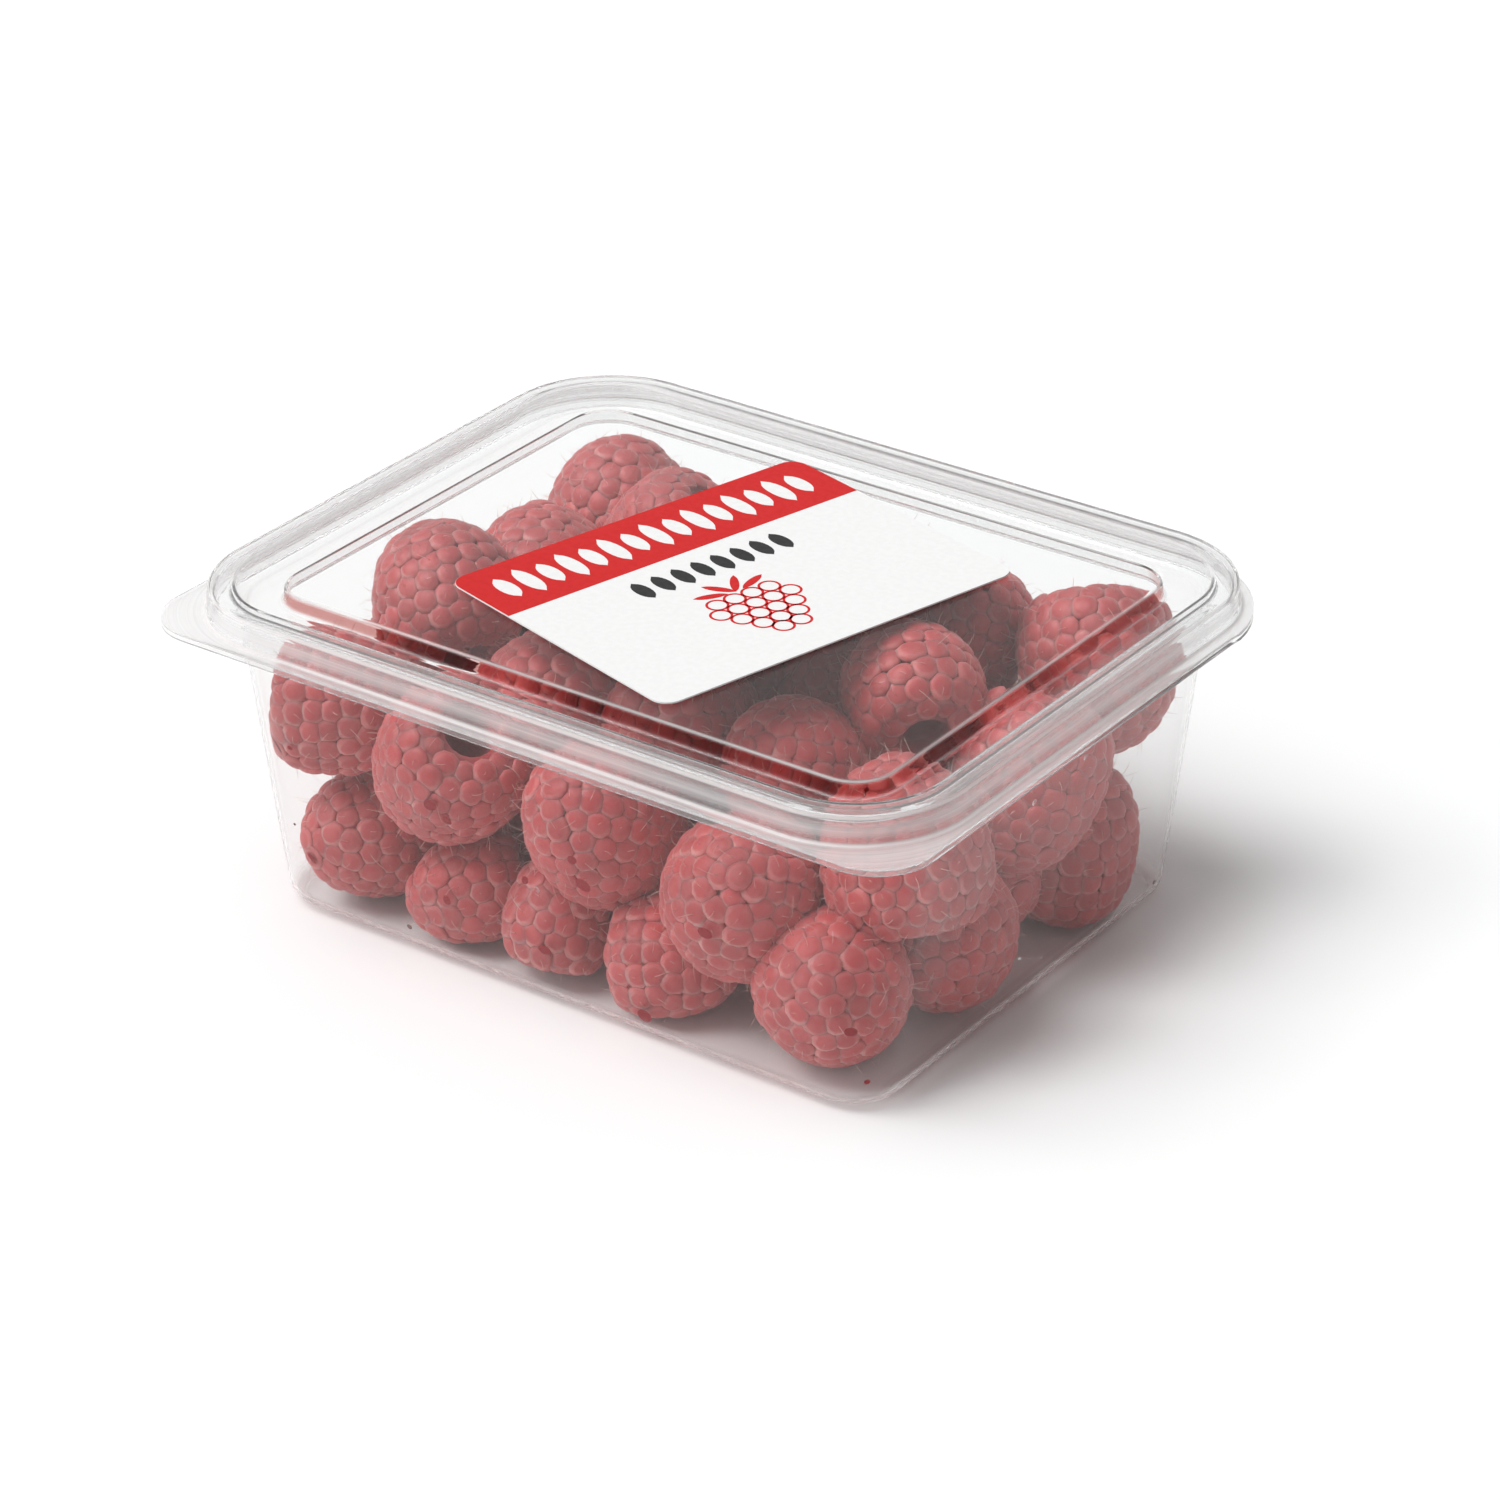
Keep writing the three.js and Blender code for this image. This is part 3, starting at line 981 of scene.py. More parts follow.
@dataclass
class Pack:
    """The clear tray and its press-on lid."""

    sizes: PackSizes = SIZES
    lid_bends: tuple[float, ...] = (0.8, 0.8, 1.2, 1.1, 1.2, 0.9)
    tray_bends: tuple[float, ...] = (0.85, 0.85, 0.85, 0.85)
    bend_steps: int = 5
    lid_cuts: tuple[float, ...] = (55.69, 54.92, 54.16)
    base_steps: int = 16
    haze: float = 0.024
    # the tray's trimmed edge is painted pale: its frosted cut, and painted light
    tray_edge_frost_and_painted_light: float = 0.15
    # painted shade on the plug's side wall, at the front and on the right
    wall_shade: PaintedWallShade = PaintedWallShade()
    tray_finish: ClearPlastic = ClearPlastic("clear_tray_plastic", ior=1.18, see_through=0.6)
    lid_finish: ClearPlastic = ClearPlastic("clear_lid_plastic", ior=1.2, tint=(0.96, 0.965, 0.965))

    def lid_line(self) -> Line:
        """Gives the lid's upper line, from the skirt's foot in to the flat of the panel.

        Returns:
            Points of outset and height.
        """
        panel = [(0.0, self.sizes.panel_top), (self.sizes.channel_start, self.sizes.channel_top)]
        middle = [(-2 * self.lid_bends[0], self.sizes.panel_top), *panel, *rim_line(self.sizes)]
        line = rounded(middle, self.lid_bends, self.bend_steps)
        return line[::-1][1:]

    def tray_line(self) -> Line:
        """Gives the tray's outer line, from under the skirt's foot in to the flat of the base.

        Returns:
            Points of outset and height.
        """
        rim = beside(rim_line(self.sizes), self.sizes.nesting)
        base = base_line(self.sizes, self.base_steps)
        line = rounded([base[-1], *rim], self.tray_bends, self.bend_steps)
        return [*line[::-1][1:], *base[::-1][1:]]

    def build(self) -> None:
        """Builds both parts and dresses them."""
        flange_end = self.sizes.flange_end
        tray_edge = (flange_end, self.sizes.flange_top - self.sizes.nesting)
        tray = FormedSheet(
            "clear_tray", self.tray_line(), tray_edge, True, TRAY_PALENESS_AND_HIGHLIGHTS,
            haze=self.haze, edge_frost_and_painted_light=self.tray_edge_frost_and_painted_light,
        )
        finish_piece(tray.build(), self.tray_finish.material(), "tray")
        lid_edge = (flange_end, self.sizes.flange_top)
        lid = FormedSheet(
            "clear_lid", self.lid_line(), lid_edge, False, LID_PALENESS_AND_HIGHLIGHTS,
            wall_shade=self.wall_shade, cuts=self.lid_cuts,
        )
        finish_piece(lid.build(), self.lid_finish.material(), "lid")


# ---- the room inside the pack -------------------------------------------------------------------------
@dataclass(frozen=True)
class PackSpace:
    """The inside of the shut pack that the fruit may fill, in millimetres."""

    sizes: PackSizes = SIZES
    ceiling_slope: float = 0.5
    slope_start: float = 1.0
    keep_off: float = 0.9
    softness: float = 0.55

    def outset(self, height: np.ndarray) -> np.ndarray:
        """Finds how far outside the panel's outline the room goes.

        Args:
            height: heights above the floor.

        Returns:
            The outset at each height.
        """
        top_outset, top_height = beside(rim_line(self.sizes), self.keep_off)[0]
        rounding = self.sizes.base_rounding
        run = (top_outset - self.sizes.base_outset + self.sizes.sheet) / (top_height - rounding)
        wall = self.sizes.base_outset - self.keep_off + run * (height - rounding)
        bend = (rounding - self.keep_off) ** 2 - (rounding - np.minimum(height, rounding)) ** 2
        foot = self.sizes.base_outset - rounding + np.sqrt(np.maximum(bend, 0))
        return np.where(height > rounding, wall, foot)

    def give(self, room: np.ndarray) -> np.ndarray:
        """Gives how far a soft surface moves in, from the room that it has."""
        return self.softness * np.logaddexp(0, -room / self.softness)

    def keep_in(self, points: np.ndarray) -> tuple[np.ndarray, np.ndarray]:
        """Presses points that would cross the plastic back inside, the nearer ones a little too.

        Args:
            points: places, one a row.

        Returns:
            The places inside, and the room that each has left.
        """
        floor_room = points[:, 2] - self.keep_off
        height = points[:, 2] + self.give(floor_room)
        outset = self.outset(height)
        radius = self.sizes.panel_corner + outset
        over_x = np.abs(points[:, 0]) - (self.sizes.panel_length / 2 + outset - radius)
        over_y = np.abs(points[:, 1]) - (self.sizes.panel_width / 2 + outset - radius)
        past_x, past_y = np.maximum(over_x, 0), np.maximum(over_y, 0)
        past = np.hypot(past_x, past_y)
        wall_room = radius - past - np.minimum(np.maximum(over_x, over_y), 0)
        corner = past > 0
        way_x = np.where(corner, past_x / np.maximum(past, TINY), over_x > over_y)
        way_y = np.where(corner, past_y / np.maximum(past, TINY), over_x <= over_y)
        moved = self.give(wall_room)
        x = points[:, 0] - np.sign(points[:, 0]) * way_x * moved
        y = points[:, 1] - np.sign(points[:, 1]) * way_y * moved
        beyond = np.maximum(np.abs(x) - self.sizes.panel_length / 2, np.abs(y) - self.sizes.panel_width / 2)
        low = self.sizes.channel_top - self.keep_off
        slope = np.maximum(low - (beyond + self.slope_start) * self.ceiling_slope, low)
        ceiling = np.minimum(self.sizes.panel_top - self.keep_off, slope)
        top_room = ceiling - height
        inside = np.stack([x, y, height - self.give(top_room)], axis=1)
        rooms = [floor_room, wall_room, top_room]
        return inside, np.min([room + self.give(room) for room in rooms], axis=0)


# ---- the fruit ----------------------------------------------------------------------------------------
@dataclass(frozen=True)
class Spot:
    """Where one berry lies: its middle, width and length, and the way its tip points."""

    x: float
    y: float
    z: float
    width: float
    length: float
    turn: float
    tilt: float

    def axes(self) -> np.ndarray:
        """Gives the berry's own axes as columns, the third along its tip."""
        tilted = Matrix.Rotation(math.radians(90 - self.tilt), 3, "Y")
        return np.array(Matrix.Rotation(math.radians(self.turn), 3, "Z") @ tilted)


LOWER_BERRIES = [
    Spot(-46.3, -34.6, 12, 19.8, 21.5, -119, 6),
    Spot(-24.6, -36.4, 9.2, 16.2, 18.5, -130, -10),
    Spot(-6.2, -36.2, 10, 16.6, 18.8, 100, 62),
    Spot(16.3, -35.6, 9.8, 17.6, 21.5, 30, 4),
    Spot(44.8, -34.4, 12, 23, 23.5, -62, 30),
    Spot(-48, -10.5, 12, 22, 24, 165, 20),
    Spot(-25, -12, 12, 23, 24, 60, 70),
    Spot(-2, -12.5, 12, 23, 23, 10, -20),
    Spot(22, -12, 12, 23, 25, -70, 30),
    Spot(49.5, -10.6, 12, 22.4, 24.5, -60, 8),
    Spot(-48.5, 12.5, 12.4, 23, 25, 100, 65),
    Spot(-25, 11, 12, 23, 24, 200, 10),
    Spot(-1, 11.5, 12, 23, 24, 45, -60),
    Spot(22.5, 12, 12, 23, 24, 20, 50),
    Spot(40, 12.5, 11.6, 21, 24, -20, 5),
    Spot(-47, 34, 12, 22.5, 24, 130, 12),
    Spot(-23, 34.3, 11.8, 22.5, 24, 60, 30),
    Spot(0.5, 34, 12.4, 23, 25, 95, 68),
    Spot(24, 34.4, 11.8, 22.5, 24, 10, 5),
    Spot(48.8, 26.5, 14.2, 22.6, 26.5, 30, 78),
]
UPPER_BERRIES = [
    Spot(-48.8, -36.2, 34.8, 21, 23.5, 30, -6),
    Spot(-28.9, -34.7, 28.9, 24, 25, 155, -52),
    Spot(-0.4, -33.3, 28.7, 23, 25.5, -96, 45),
    Spot(28.2, -33.6, 25.4, 24.5, 25, -58, 40),
    Spot(48.7, -19.5, 33.8, 24, 26, 150, 70),
    Spot(50, 11.3, 30, 22.6, 27.5, -90, -60),
    Spot(48.6, 35.2, 39.6, 23.6, 25, -50, -52),
    Spot(23.8, 33.5, 39.6, 23, 25, 15, 58),
    Spot(-10.5, 34, 35, 23, 25, 110, 15),
    Spot(-36, 37, 26.5, 21.5, 24, 170, -8),
    Spot(-48.5, 15, 37.2, 23.5, 25, 120, 20),
    Spot(-20, -15.5, 37, 22, 24, 60, 28),
    Spot(0, -13.5, 35.6, 23, 24, -80, 20),
    Spot(21.6, -13, 35.5, 20.6, 22, -100, 35),
    Spot(-28, 7, 35.5, 22.5, 24, 15, 60),
    Spot(-6, 9.5, 36, 22.5, 24, 250, 35),
    Spot(12.5, 15, 32, 22, 24, 90, 70),
    Spot(-51.8, -7, 45, 22.8, 23, 150, 45),
    Spot(-48.5, 38.2, 45, 23, 23, 80, 74),
    Spot(-31.5, 26.6, 41.8, 22, 23, 200, -48),
    Spot(30.1, 8, 42.6, 22, 21.3, 139, 18),
    Spot(4, 38.6, 45.2, 24, 21.5, 90, 84),
]


class Stack:
    """Copies of small modelled shapes, gathered into one mesh with values on its points."""

    def __init__(self, names: tuple[str, ...]) -> None:
        """Starts empty, for the given point values.

        Args:
            names: the names of the point values.
        """
        self.names = names
        self.places: list[np.ndarray] = []
        self.faces: list[np.ndarray] = []
        self.values: dict[str, list[np.ndarray]] = {name: [] for name in names}
        self.count = 0

    def add(self, places: np.ndarray, faces: np.ndarray, **values: np.ndarray) -> None:
        """Adds copies of one shape.

        Args:
            places: an array of copies by points by three, in millimetres.
            faces: the shape's triangles.
            values: an array of copies by points for each point value. What is left out is 0.
        """
        copies, points = places.shape[:2]
        starts = self.count + points * np.arange(copies)
        self.faces.append((faces[None] + starts[:, None, None]).reshape(-1, 3))
        self.places.append(places.reshape(-1, 3))
        for name in self.names:
            given = values.get(name, np.zeros((copies, points)))
            self.values[name].append(np.broadcast_to(given, (copies, points)).reshape(-1))
        self.count += copies * points

    def build(self, name: str, space: PackSpace) -> bpy.types.Object:
        """Makes the joined mesh, pressed in where it meets the plastic and wet where it is pressed hard.

        Args:
            name: the object's name.
            space: the room that it has to stay in.

        Returns:
            The new object.
        """
        places, room = space.keep_in(np.concatenate(self.places))
        faces = np.concatenate(self.faces)
        mesh = bpy.data.meshes.new(name)
        mesh.vertices.add(len(places))
        mesh.vertices.foreach_set("co", (places * MM).astype(np.float32).ravel())
        mesh.loops.add(faces.size)
        mesh.loops.foreach_set("vertex_index", faces.astype(np.int32).ravel())
        mesh.polygons.add(len(faces))
        mesh.polygons.foreach_set("loop_start", np.arange(0, faces.size, 3, dtype=np.int32))
        mesh.polygons.foreach_set("use_smooth", np.ones(len(faces), bool))
        for key in self.names:
            attribute = mesh.attributes.new(key, "FLOAT", "POINT")
            value = np.concatenate(self.values[key])
            if key == "wet":
                value = np.maximum(value, np.clip((WET_ROOM - room) / WET_ROOM * WET_GAIN, 0, 1))
            attribute.data.foreach_set("value", value.astype(np.float32))
        mesh.update(calc_edges=True)
        obj = bpy.data.objects.new(name, mesh)
        bpy.context.scene.collection.objects.link(obj)
        return obj


def take_shape(obj: bpy.types.Object) -> tuple[np.ndarray, np.ndarray]:
    """Reads a modelled shape and removes its object.

    Args:
        obj: the modelled shape.

    Returns:
        Its points and its triangles.
    """
    edit(obj)
    bpy.ops.mesh.select_all(action="SELECT")
    bpy.ops.mesh.quads_convert_to_tris()
    leave_edit()
    points = np.array([vertex.co for vertex in obj.data.vertices])
    faces = np.array([list(face.vertices) for face in obj.data.polygons])
    bpy.data.objects.remove(obj)
    return points, faces


@dataclass(frozen=True)
class Unevenness:
    """How unevenly berries grow: spreads about the even layout, as shares or in millimetres."""

    lobes: tuple[float, ...] = (0.035, 0.02, 0.035, 0.02)
    row_slip: float = 0.08
    around: float = 0.05
    along: float = 0.18
    lift: float = 0.06
    width: float = 0.07
    length: float = 0.06
    height: float = 0.05
    berry_tone: tuple[float, float] = (0.25, 0.75)
    tone: float = 0.18
    # the random spread of the painted sheen on drupelet rims
    side: float = 0.25
    side_middle: float = 0.85
    side_limits: tuple[float, float] = (0.2, 1.2)
    hair_share: float = 0.8
    hair_length: tuple[float, float] = (1.1, 2.9)
    hair_lean: float = 0.55
    hair_curl: float = 0.5


@dataclass
class Heap:
    """The heap of berries, each with its own drupelets, down and hollow."""

    space: PackSpace = PackSpace()
    pitch: float = 3.4
    plump: float = 1.34
    dome: float = 1.2
    narrowest: float = 0.82
    row_share: float = 0.88
    mouth_tuck: float = 0.45
    sink: float = 0.5
    lean: float = 0.07
    pressed: float = 0.9
    fewest_rows: int = 4
    slope_reach: float = 0.4
    seed: int = 7
    hair: float = 0.05
    hair_tip: float = 0.35
    hair_rise: float = 0.8
    hair_root: float = 0.9
    # painted sheen: drupelet rims facing this way are painted palest, where the light catches the down; then
    # the side value's middle, gain and least
    sheen_side: tuple[float, float, float] = (-0.57, -0.2, -0.8)
    sheen_side_middle: float = 0.5
    sheen_side_gain: float = 0.75
    sheen_side_least: float = 0.28
    profile: Line = field(default_factory=lambda: [
        (0.0, 0.63), (0.03, 0.82), (0.12, 0.97), (0.24, 1.03), (0.36, 1.045), (0.5, 1.02), (0.62, 0.96),
        (0.73, 0.86), (0.82, 0.73), (0.9, 0.55), (0.96, 0.34), (0.99, 0.16), (1.0, 0.0),
    ])
    drupelet_sides: int = 10
    drupelet_rings: Line = field(default_factory=lambda: [
        (0.9, -0.4), (1.0, 0.32), (0.86, 0.57), (0.68, 0.77), (0.4, 0.92),
    ])
    drupelet_tip: float = 0.08
    body_rings: Line = field(default_factory=lambda: [
        (0.7, 0.0), (0.92, 0.1), (0.99, 0.3), (0.96, 0.55), (0.77, 0.78), (0.46, 0.92),
    ])
    hollow_radius: float = 0.35
    hollow_rings: Line = field(default_factory=lambda: [(0.4, 0.18), (0.28, 0.38), (0.12, 0.55)])
    hollow_tone: float = 0.3
    hollow_side: float = 0.6
    between: float = 0.23
    uneven: Unevenness = Unevenness()
    finish: BerryFlesh = BerryFlesh()

    def drupelet(self) -> tuple[np.ndarray, np.ndarray]:
        """Models one drupelet: a dome with a blunt top on a short foot that sits in the berry.

        Returns:
            Its points and its triangles.
        """
        deselect_all()
        (radius, height), *rings = self.drupelet_rings
        bpy.ops.mesh.primitive_circle_add(
            vertices=self.drupelet_sides, radius=radius, fill_type="NGON", location=(0, 0, height)
        )
        dome = bpy.context.object
        apply_place(dome)
        edit(dome)
        bpy.ops.mesh.select_all(action="SELECT")
        grow_rings(bpy.ops.mesh.extrude_region_move, radius, height, rings)
        bpy.ops.mesh.poke(offset=self.drupelet_tip)
        leave_edit()
        outward(dome)
        return take_shape(dome)

    def body(self) -> tuple[np.ndarray, np.ndarray]:
        """Models the berry under its drupelets: a blunt cone of unit size with the stalk's hollow.

        Returns:
            Its points and its triangles.
        """
        deselect_all()
        bpy.ops.mesh.primitive_circle_add(vertices=16, radius=self.hollow_radius, fill_type="NOTHING")
        cup = bpy.context.object
        edit(cup)
        bpy.ops.mesh.select_all(action="SELECT")
        grow_rings(bpy.ops.mesh.extrude_edges_move, self.hollow_radius, 0.0, self.body_rings)
        bpy.ops.mesh.edge_face_add()
        bpy.ops.mesh.poke()
        mouth = self.hollow_radius + NEARLY
        select_vertices(cup, lambda vertex: vertex.co.z < NEARLY and vertex.co.xy.length < mouth)
        grow_rings(bpy.ops.mesh.extrude_edges_move, self.hollow_radius, 0.0, self.hollow_rings)
        bpy.ops.mesh.edge_face_add()
        bpy.ops.mesh.poke()
        leave_edit()
        outward(cup)
        return take_shape(cup)

    def rows(self, spot: Spot) -> list[tuple[float, float, float, int]]:
        """Lays out the rings of drupelets on one berry.

        Args:
            spot: the berry.

        Returns:
            For each ring its distance along the axis, its radius, its slope and its number of drupelets.
        """
        line = np.array(self.profile)
        along = (line[:, 0] - 0.5) * (spot.length - 2 * self.sink)
        out = line[:, 1] * (spot.width / 2) - self.dome * (1 - self.sink)
        out = np.maximum(out, 0)
        run = np.concatenate([[0], np.cumsum(np.hypot(np.diff(along), np.diff(out)))])
        number = max(self.fewest_rows, round(run[-1] / (self.pitch * self.row_share)))
        step = run[-1] / number
        made = []
        for row in range(number + 1):
            at = row * step
            here = np.array([np.interp(at, run, along), np.interp(at, run, out)])
            before, after = max(at - step * self.slope_reach, 0), min(at + step * self.slope_reach, run[-1])
            way = [np.interp(after, run, over) - np.interp(before, run, over) for over in (along, out)]
            slope = math.atan2(-way[1], way[0])
            around = max(1, round(2 * math.pi * here[1] / self.pitch))
            made.append((here[0], here[1], slope, around))
        return made

    def drupelets_of(self, spot: Spot, random: np.random.Generator) -> dict[str, np.ndarray]:
        """Places the drupelets of one berry.

        Args:
            spot: the berry.
            random: the seeded numbers that make it uneven.

        Returns:
            The middles, the axes and the sizes of its drupelets, in millimetres.
        """
        middles, axes, sizes = [], [], []
        uneven = self.uneven
        lobes = random.uniform(-1, 1, 4) * uneven.lobes
        phase = random.uniform(0, 2 * math.pi)
        for row, (along, out, slope, around) in enumerate(self.rows(spot)):
            slip = random.uniform(-uneven.row_slip, uneven.row_slip)
            start = phase + (row % 2) * math.pi / max(around, 1) + slip
            for index in range(around):
                drift = random.normal(0, uneven.around) / max(around, 1) * 2 * math.pi
                angle = start + 2 * math.pi * index / around + drift
                swell = 1 + lobes[0] * math.cos(2 * angle) + lobes[1] * math.cos(3 * angle)
                swell += lobes[2] * math.sin(2 * angle) + lobes[3] * math.sin(3 * angle)
                ring = np.array([math.cos(angle), math.sin(angle), 0])
                lean = slope if around > 1 else math.pi / 2
                normal = ring * math.cos(lean) + np.array([0, 0, math.sin(lean)])
                if row == 0:
                    normal = normal - np.array([0, 0, self.mouth_tuck])
                    normal /= np.linalg.norm(normal)
                side = np.array([-math.sin(angle), math.cos(angle), 0])
                normal = normal + self.lean * np.cross(normal, side)
                normal /= np.linalg.norm(normal)
                up = np.cross(normal, side)
                lift = random.normal(0, uneven.lift)
                place = ring * out * swell + np.array([0, 0, along + random.normal(0, uneven.along)])
                middles.append(place + normal * lift)
                axes.append(np.stack([side, up, normal], axis=1))
                width = 2 * math.pi * out / around if around > 1 else self.pitch
                grow = random.normal(1, uneven.width)
                half = max(width, self.pitch * self.narrowest) / 2 * self.plump * grow
                tall = self.pitch / 2 * self.plump * random.normal(1, uneven.length)
                sizes.append([half, tall, self.dome * random.normal(1, uneven.height)])
        own = spot.axes()
        return {
            "middles": np.array(middles) @ own.T + (spot.x, spot.y, spot.z),
            "axes": own @ np.array(axes),
            "sizes": np.array(sizes),
        }

    def build(self) -> None:
        """Builds the heap in four pieces and the down, and dresses them."""
        random = np.random.default_rng(self.seed)
        drupelet = self.drupelet()
        body = self.body()
        flesh = self.finish.material()
        hair = PlainFinish("berry_down", (0.80, 0.52, 0.47), (0.88, 0.66, 0.58), 0.6, 0.0)
        hairs = Stack(())
        strand = self.strand()
        for name, spots, replaced in (
            ("raspberries_lower_front", LOWER_BERRIES[:10], ""),
            ("raspberries_lower_rear", LOWER_BERRIES[10:], ""),
            ("raspberries_upper_front", UPPER_BERRIES[:11], "raspberries"),
            ("raspberries_upper_rear", UPPER_BERRIES[11:], ""),
        ):
            stack = Stack(("tone", "rim", "side", "wet", "inside"))
            for spot in spots:
                laid = self.add_berry(stack, spot, drupelet, body, random)
                self.add_hairs(hairs, laid, strand, random)
            finish_piece(stack.build(name, self.space), flesh, replaced)
        finish_piece(hairs.build("berry_down", self.space), hair.material())

    def settle(self, places: np.ndarray) -> np.ndarray:
        """Finds how far a berry moves off the plastic so that it is pressed no harder than it should be.

        Args:
            places: the points of the berry's drupelets.

        Returns:
            The way that the whole berry moves.
        """
        shift = np.zeros(3)
        for _ in range(3):
            points = places.reshape(-1, 3) + shift
            moved = self.space.keep_in(points)[0] - points
            far = np.linalg.norm(moved, axis=1)
            worst = int(np.argmax(far))
            shift = shift + moved[worst] * max(0.0, 1 - self.pressed / far[worst])
        return shift

    def add_berry(
        self, stack: Stack, spot: Spot, drupelet: tuple[np.ndarray, np.ndarray],
        body: tuple[np.ndarray, np.ndarray], random: np.random.Generator,
    ) -> dict[str, np.ndarray]:
        """Adds one berry's body and drupelets to a stack.

        Args:
            stack: what gathers them.
            spot: the berry.
            drupelet: the modelled drupelet.
            body: the modelled body.
            random: the seeded numbers.

        Returns:
            The middles, the axes and the sizes of its drupelets, in millimetres.
        """
        points, faces = drupelet
        laid = self.drupelets_of(spot, random)
        scaled = points[None] * laid["sizes"][:, None, :]
        around = np.einsum("nij,npj->npi", laid["axes"], scaled)
        shift = self.settle(around + laid["middles"][:, None, :])
        laid["middles"] = laid["middles"] + shift
        places = around + laid["middles"][:, None, :]
        lot = random.uniform(*self.uneven.berry_tone)
        tone = np.clip(lot + random.normal(0, self.uneven.tone, (len(places), 1)), 0, 1)
        rim = np.clip(1 - points[:, 2], 0, 1)[None]
        # painted sheen: rims facing down and to the left get a larger side value and are painted paler, with
        # a random spread over it
        toward = (around @ np.array(self.sheen_side)) / laid["sizes"][:, :1]
        spread = random.normal(self.uneven.side_middle, self.uneven.side, (len(places), 1))
        side = np.clip(self.sheen_side_middle + self.sheen_side_gain * toward, self.sheen_side_least, 1)
        side = side * np.clip(spread, *self.uneven.side_limits)
        stack.add(places, faces, tone=tone, rim=rim, side=side)
        shape, skin = body
        sized = shape * (spot.width / 2, spot.width / 2, spot.length) - (0, 0, spot.length / 2)
        deepest = self.hollow_rings[-1][1] + ON_LINE
        inside = (np.hypot(shape[:, 0], shape[:, 1]) <= self.hollow_radius + NEARLY) & (shape[:, 2] < deepest)
        laid_body = sized @ spot.axes().T + (spot.x, spot.y, spot.z) + shift
        stack.add(
            laid_body[None], skin, tone=self.hollow_tone, rim=np.where(inside, 0.0, self.between)[None],
            side=self.hollow_side, inside=inside[None].astype(float),
        )
        return laid

    def strand(self) -> tuple[np.ndarray, np.ndarray]:
        """Models one hair: a thin three-sided spike, one unit long, cut in three so that it can bend when it
        is laid.

        Returns:
            Its points and its triangles.
        """
        deselect_all()
        bpy.ops.mesh.primitive_cone_add(
            vertices=3, radius1=1, radius2=self.hair_tip, depth=1, location=(0, 0, 0.5)
        )
        spike = bpy.context.object
        apply_place(spike)
        for cut in (0.33, 0.66):
            edit(spike)
            bpy.ops.mesh.select_all(action="SELECT")
            bpy.ops.mesh.bisect(plane_co=(0, 0, cut), plane_no=(0, 0, 1))
            leave_edit()
        return take_shape(spike)

    def add_hairs(
        self, stack: Stack, laid: dict[str, np.ndarray], strand: tuple[np.ndarray, np.ndarray],
        random: np.random.Generator,
    ) -> None:
        """Adds fine pale hairs to one berry.

        Args:
            stack: what gathers them.
            laid: the middles, the axes and the sizes of the berry's drupelets.
            strand: the modelled hair.
            random: the seeded numbers.
        """
        points, faces = strand
        chosen = random.random(len(laid["middles"])) < self.uneven.hair_share
        middles, axes, sizes = (laid[key][chosen] for key in ("middles", "axes", "sizes"))
        count = len(middles)
        length = random.uniform(*self.uneven.hair_length, (count, 1))
        lean = random.normal(0, self.uneven.hair_lean, (count, 2))
        curl = random.normal(0, self.uneven.hair_curl, (count, 2))
        along = points[None, :, 2] * length
        local = np.stack([
            points[None, :, 0] * self.hair + along * lean[:, :1] + (along**2) / 4 * curl[:, :1],
            points[None, :, 1] * self.hair + along * lean[:, 1:] + (along**2) / 4 * curl[:, 1:],
            along * self.hair_rise + sizes[:, None, 2] * self.hair_root,
        ], axis=2)
        places = np.einsum("nij,npj->npi", axes, local) + middles[:, None, :]
        stack.add(places, faces)


# ---- what sticks to the wall ---------------------------------------------------------------------------
@dataclass(frozen=True)
class Mark:
    """A speck on the inside of a wall: its place along the wall and its height, its size and its turn."""

    along: float
    height: float
    length: float
    breadth: float
    turn: float = 0.0
    on_front: bool = True


JUICE_COLOUR = (0.25, 0.003, 0.009)
JUICE_SPOTS = (
    Mark(-21.97, 30.62, 2.3, 1.7, 20), Mark(-18.82, 28.87, 1.7, 1.2, -20), Mark(5.81, 29.87, 1.7, 1.3, 30),
    Mark(7.45, 25.78, 2.6, 1.9, -15), Mark(-4.22, 22.62, 1.5, 1.1, 60), Mark(30.52, 25.07, 2.4, 1.7, 0),
    Mark(-1.84, 10.16, 2.3, 1.6, 0), Mark(16.97, 4.5, 2.4, 2.0, 0), Mark(55.7, 15.2, 1.8, 1.4, 10),
    Mark(-21.05, 12.88, 1.3, 1.6, 0), Mark(-50.3, 31.95, 0.9, 0.7, 0), Mark(-49.11, 11.18, 2.0, 0.8, -50),
    Mark(57.5, 5.6, 0.9, 0.8, 0),
)
BROWN_SPECKS = (
    Mark(-53.06, 31.62, 2.8, 0.35, -55), Mark(-51.75, 16.89, 0.45, 0.4, 0), Mark(-29.81, 4.6, 0.9, 0.8, 0),
    Mark(36.68, 3.9, 0.9, 0.7, 0, False), Mark(21.0, 5.0, 0.5, 0.4, 0),
)
CLEAR_DROPS = (
    Mark(-6.69, 39.68, 1.1, 0.9, 0, False), Mark(7.37, 41.26, 1.0, 0.9, 0, False),
    Mark(-2.0, 21.6, 0.8, 0.9, 0),
)


